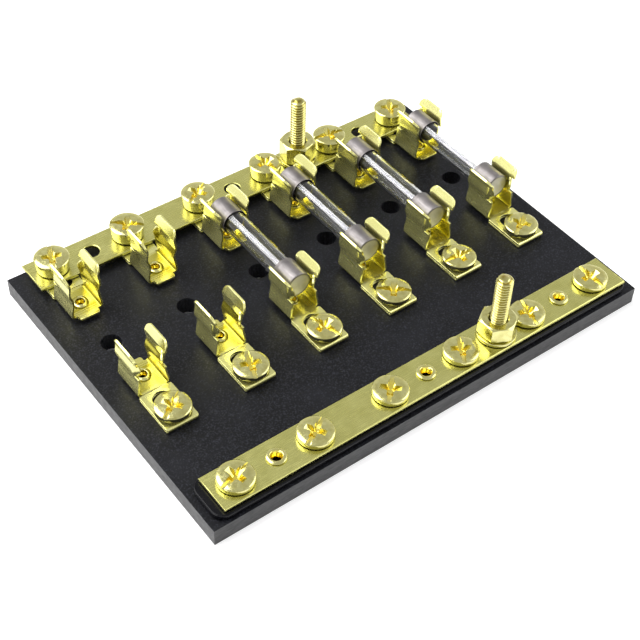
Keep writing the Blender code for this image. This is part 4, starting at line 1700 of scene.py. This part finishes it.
@dataclass(frozen=True)
class GlassFuse:
    """A glass tube between two drawn caps, with a twisted wire inside."""

    steps: int = 64
    sharp: float = 60.0
    cap_wall: float = 0.175 * MM
    cap_end: float = 0.5 * MM
    cap_ease: float = 0.22 * MM
    rim: float = 0.045 * MM
    disc: Point = (0.74, 0.80)
    crimp: tuple[float, ...] = (0.9 * MM, 0.75 * MM, 0.6 * MM, 0.45 * MM)
    glass_wall: float = 0.5 * MM
    glass_ease: float = 0.24 * MM
    ease_steps: int = 4
    painted_light_span: float = 0.9
    painted_light_width: float = 0.1
    wire: Point = (1.6 * MM, 0.6 * MM)
    turns: int = 27

    def along_y(self, mesh: Mesh, middle: Vector, way: int) -> Mesh:
        """Lay a turned mesh along Y and put it in place.

        Args:
            mesh: the mesh, turned about Z.
            middle: where its origin goes.
            way: 1 to point its +Z to +Y, -1 to -Y.

        Returns:
            The same mesh.
        """
        mesh.transform(Matrix.Translation(middle) @ Matrix.Rotation(math.radians(-90 * way), 4, "X"))
        return mesh

    def cap(self, radius: float, length: float) -> Mesh:
        """Make one cap.

        Args:
            radius: its outer radius.
            length: its length.

        Returns:
            Its mesh, with its mouth at z = 0 and its end at z = length.
        """
        inner, waist = radius - self.cap_wall, radius - self.rim
        floor = length - self.cap_end
        line = [(0.0, length - self.rim), (self.disc[0] * radius, length - self.rim),
                (self.disc[1] * radius, length), (radius, length)]
        line += list(zip((radius, waist, waist, radius), self.crimp))
        line += [(radius, 0.0), (inner, 0.0), (inner, floor), (0.0, floor)]
        mesh = turned(eased(line, self.cap_ease, self.ease_steps), self.steps, "cap")

        def on_disc(spot: Vector) -> float:
            """Tell how far inside the end's disc a point lies; the disc gets a pale painted highlight.
            """
            within = self.painted_light_span * radius - math.hypot(spot.x, spot.y)
            ahead = spot.z > length - self.cap_end / 2
            return within / (self.painted_light_width * radius) if ahead else 0.0

        return marked(polished(mesh, self.sharp), on_disc)

    def tube(self, radius: float, half: float) -> Mesh:
        """Make the glass tube, with melted round ends.

        Args:
            radius: its outer radius.
            half: half of its length.

        Returns:
            Its mesh, about its middle.
        """
        inner = radius - self.glass_wall
        line = [(radius, 0.0), (radius, half), (inner, half), (inner, -half), (radius, -half),
                (radius, 0.0)]
        mesh = turned(eased(line, self.glass_ease, self.ease_steps), self.steps, "tube")
        return polished(mesh, self.sharp)

    def build(self, bench: Bench, tree: TwistTree) -> None:
        """Make the four fuses, each on its own body.

        Args:
            bench: finishes the pieces.
            tree: twists their wires.
        """
        for row in FUSED_ROWS:
            body = f"fuse_{row}"
            low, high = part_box(f"{body}_glass")
            middle = (low + high) / 2
            tube = self.tube((high.x - low.x) / 2, (high.y - low.y) / 2)
            bench.piece(f"{body}_tube", self.along_y(tube, middle, 1), Slot.GLASS, body,
                        f"{body}_glass")
            for side, way in (("rear", 1), ("front", -1)):
                least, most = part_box(f"{body}_{side}_cap")
                mouth = Vector((middle.x, least.y if way > 0 else most.y, middle.z))
                cap = self.cap((most.x - least.x) / 2, most.y - least.y)
                bench.piece(f"{body}_{side}_cup", self.along_y(cap, mouth, way), Slot.CAP, body,
                            f"{body}_{side}_cap")
            least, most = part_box(f"{body}_element")
            values = {"Material": bench.materials[Slot.ELEMENT], "Place": tuple(middle),
                      "Width": self.wire[0], "Thickness": self.wire[1],
                      "Half": (most.y - least.y) / 2, "Turns": float(self.turns),
                      "Rows": tree.rows(self.turns)}
            bench.piece(f"{body}_wire", tree.grow(values), Slot.ELEMENT, body, f"{body}_element")


@dataclass(frozen=True)
class Lamp:
    """A soft round lamp that looks at the object: name, place, size and power in watts."""

    name: str
    place: Color
    size: float
    power: float

    def hang(self) -> None:
        """Hang the lamp."""
        data = bpy.data.lights.new(self.name, "AREA")
        data.shape = "DISK"
        data.size = self.size
        data.energy = self.power
        spot = Vector(self.place)
        facing = spot.to_track_quat("Z", "Y").to_matrix().to_4x4()
        linked(self.name, data).matrix_world = Matrix.Translation(spot) @ facing


@dataclass(frozen=True)
class Studio:
    """Camera, pale floor and soft light."""

    target: Color = (-0.92 * MM, -8.39 * MM, 0.0)
    azimuth: float = 39.55
    elevation: float = 45.99
    roll: float = 3.16
    distance: float = 308.26 * MM
    lens: float = 75.0
    film: float = 36.0
    shift: Point = (-0.0346, 0.001)
    sight: Point = (0.01, 20.0)
    floor_size: float = 4.0
    floor_drop: float = 0.05 * MM
    sky_band: Point = (0.15, 0.75)
    sky: Point = (1.0, 0.62)
    surroundings: Point = (0.45, 1.0)
    lamps: tuple[Lamp, ...] = (
        Lamp("key_lamp", (-0.35, 0.45, 0.75), 0.8, 9.0),
        Lamp("fill_lamp", (0.7, -0.3, 0.6), 0.8, 3.5),
        Lamp("side_lamp", (-0.6, -0.05, 0.18), 0.4, 1.7))

    def camera(self) -> None:
        """Set the camera at the photograph's viewing angle."""
        turn, tilt, roll = (math.radians(value) for value in (self.azimuth, self.elevation, self.roll))
        ahead = Vector((math.sin(turn) * math.cos(tilt), math.cos(turn) * math.cos(tilt),
                        -math.sin(tilt)))
        right = Vector((math.cos(turn), -math.sin(turn), 0.0))
        upward = right.cross(ahead)
        across = right * math.cos(roll) + upward * math.sin(roll)
        rise = upward * math.cos(roll) - right * math.sin(roll)
        data = bpy.data.cameras.new("camera")
        data.lens = self.lens
        data.sensor_width = self.film
        data.shift_x, data.shift_y = self.shift
        data.clip_start, data.clip_end = self.sight
        item = linked("camera", data)
        axes = Matrix((across, rise, -ahead)).transposed().to_4x4()
        item.matrix_world = Matrix.Translation(Vector(self.target) - ahead * self.distance) @ axes
        bpy.context.scene.camera = item

    def floor(self) -> None:
        """Lay the floor: it keeps the object's shadow and reads white in view and in metal."""
        shape = bmesh.new()
        bmesh.ops.create_grid(shape, x_segments=1, y_segments=1, size=self.floor_size / 2)
        mesh = meshed(shape, "floor")
        mesh.transform(Matrix.Translation((0, 0, -self.floor_drop)))
        mesh.materials.append(FloorFinish().make())
        linked("floor", mesh)

    def world(self) -> None:
        """Fill the surroundings: white where they are seen, a little less where they light."""
        world = bpy.data.worlds.new("studio")
        world.use_nodes = True
        sheet = NodeSheet(world.node_tree)
        seen, mirrored = sheet.in_view()
        upward = sheet.split(sheet.add("ShaderNodeTexCoord").outputs["Generated"])["Z"]
        sky = sheet.fitted(upward, self.sky_band, self.sky)
        dimmed = sheet.math("MULTIPLY", mirrored, sheet.math("SUBTRACT", sky, 1.0))
        strength = sheet.math("ADD", sheet.fitted(seen, (0.0, 1.0), self.surroundings), dimmed)
        sheet.feed(world.node_tree.nodes["Background"],
                   {"Color": (1.0, 1.0, 1.0, 1.0), "Strength": strength})
        bpy.context.scene.world = world

    def build(self) -> None:
        """Set up the studio."""
        self.camera()
        self.floor()
        self.world()
        for lamp in self.lamps:
            lamp.hang()
        bpy.context.scene.view_settings.view_transform = "Standard"


def main() -> None:
    """Dress the fuse block and set up its studio."""
    logging.basicConfig(level=logging.INFO, format="%(name)s %(message)s")
    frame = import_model()
    bench = Bench()
    threads, copies, twists = ThreadTree(), CopyTree(), TwistTree()
    Plates().build(bench, frame["nodes"])
    rivets = SpringClip().build(bench)
    Eyelets().build(bench, copies, rivets)
    TerminalScrew().build(bench, threads)
    StudSet().build(bench, threads, copies)
    GlassFuse().build(bench, twists)
    Studio().build()


if __name__ == "__main__":
    main()
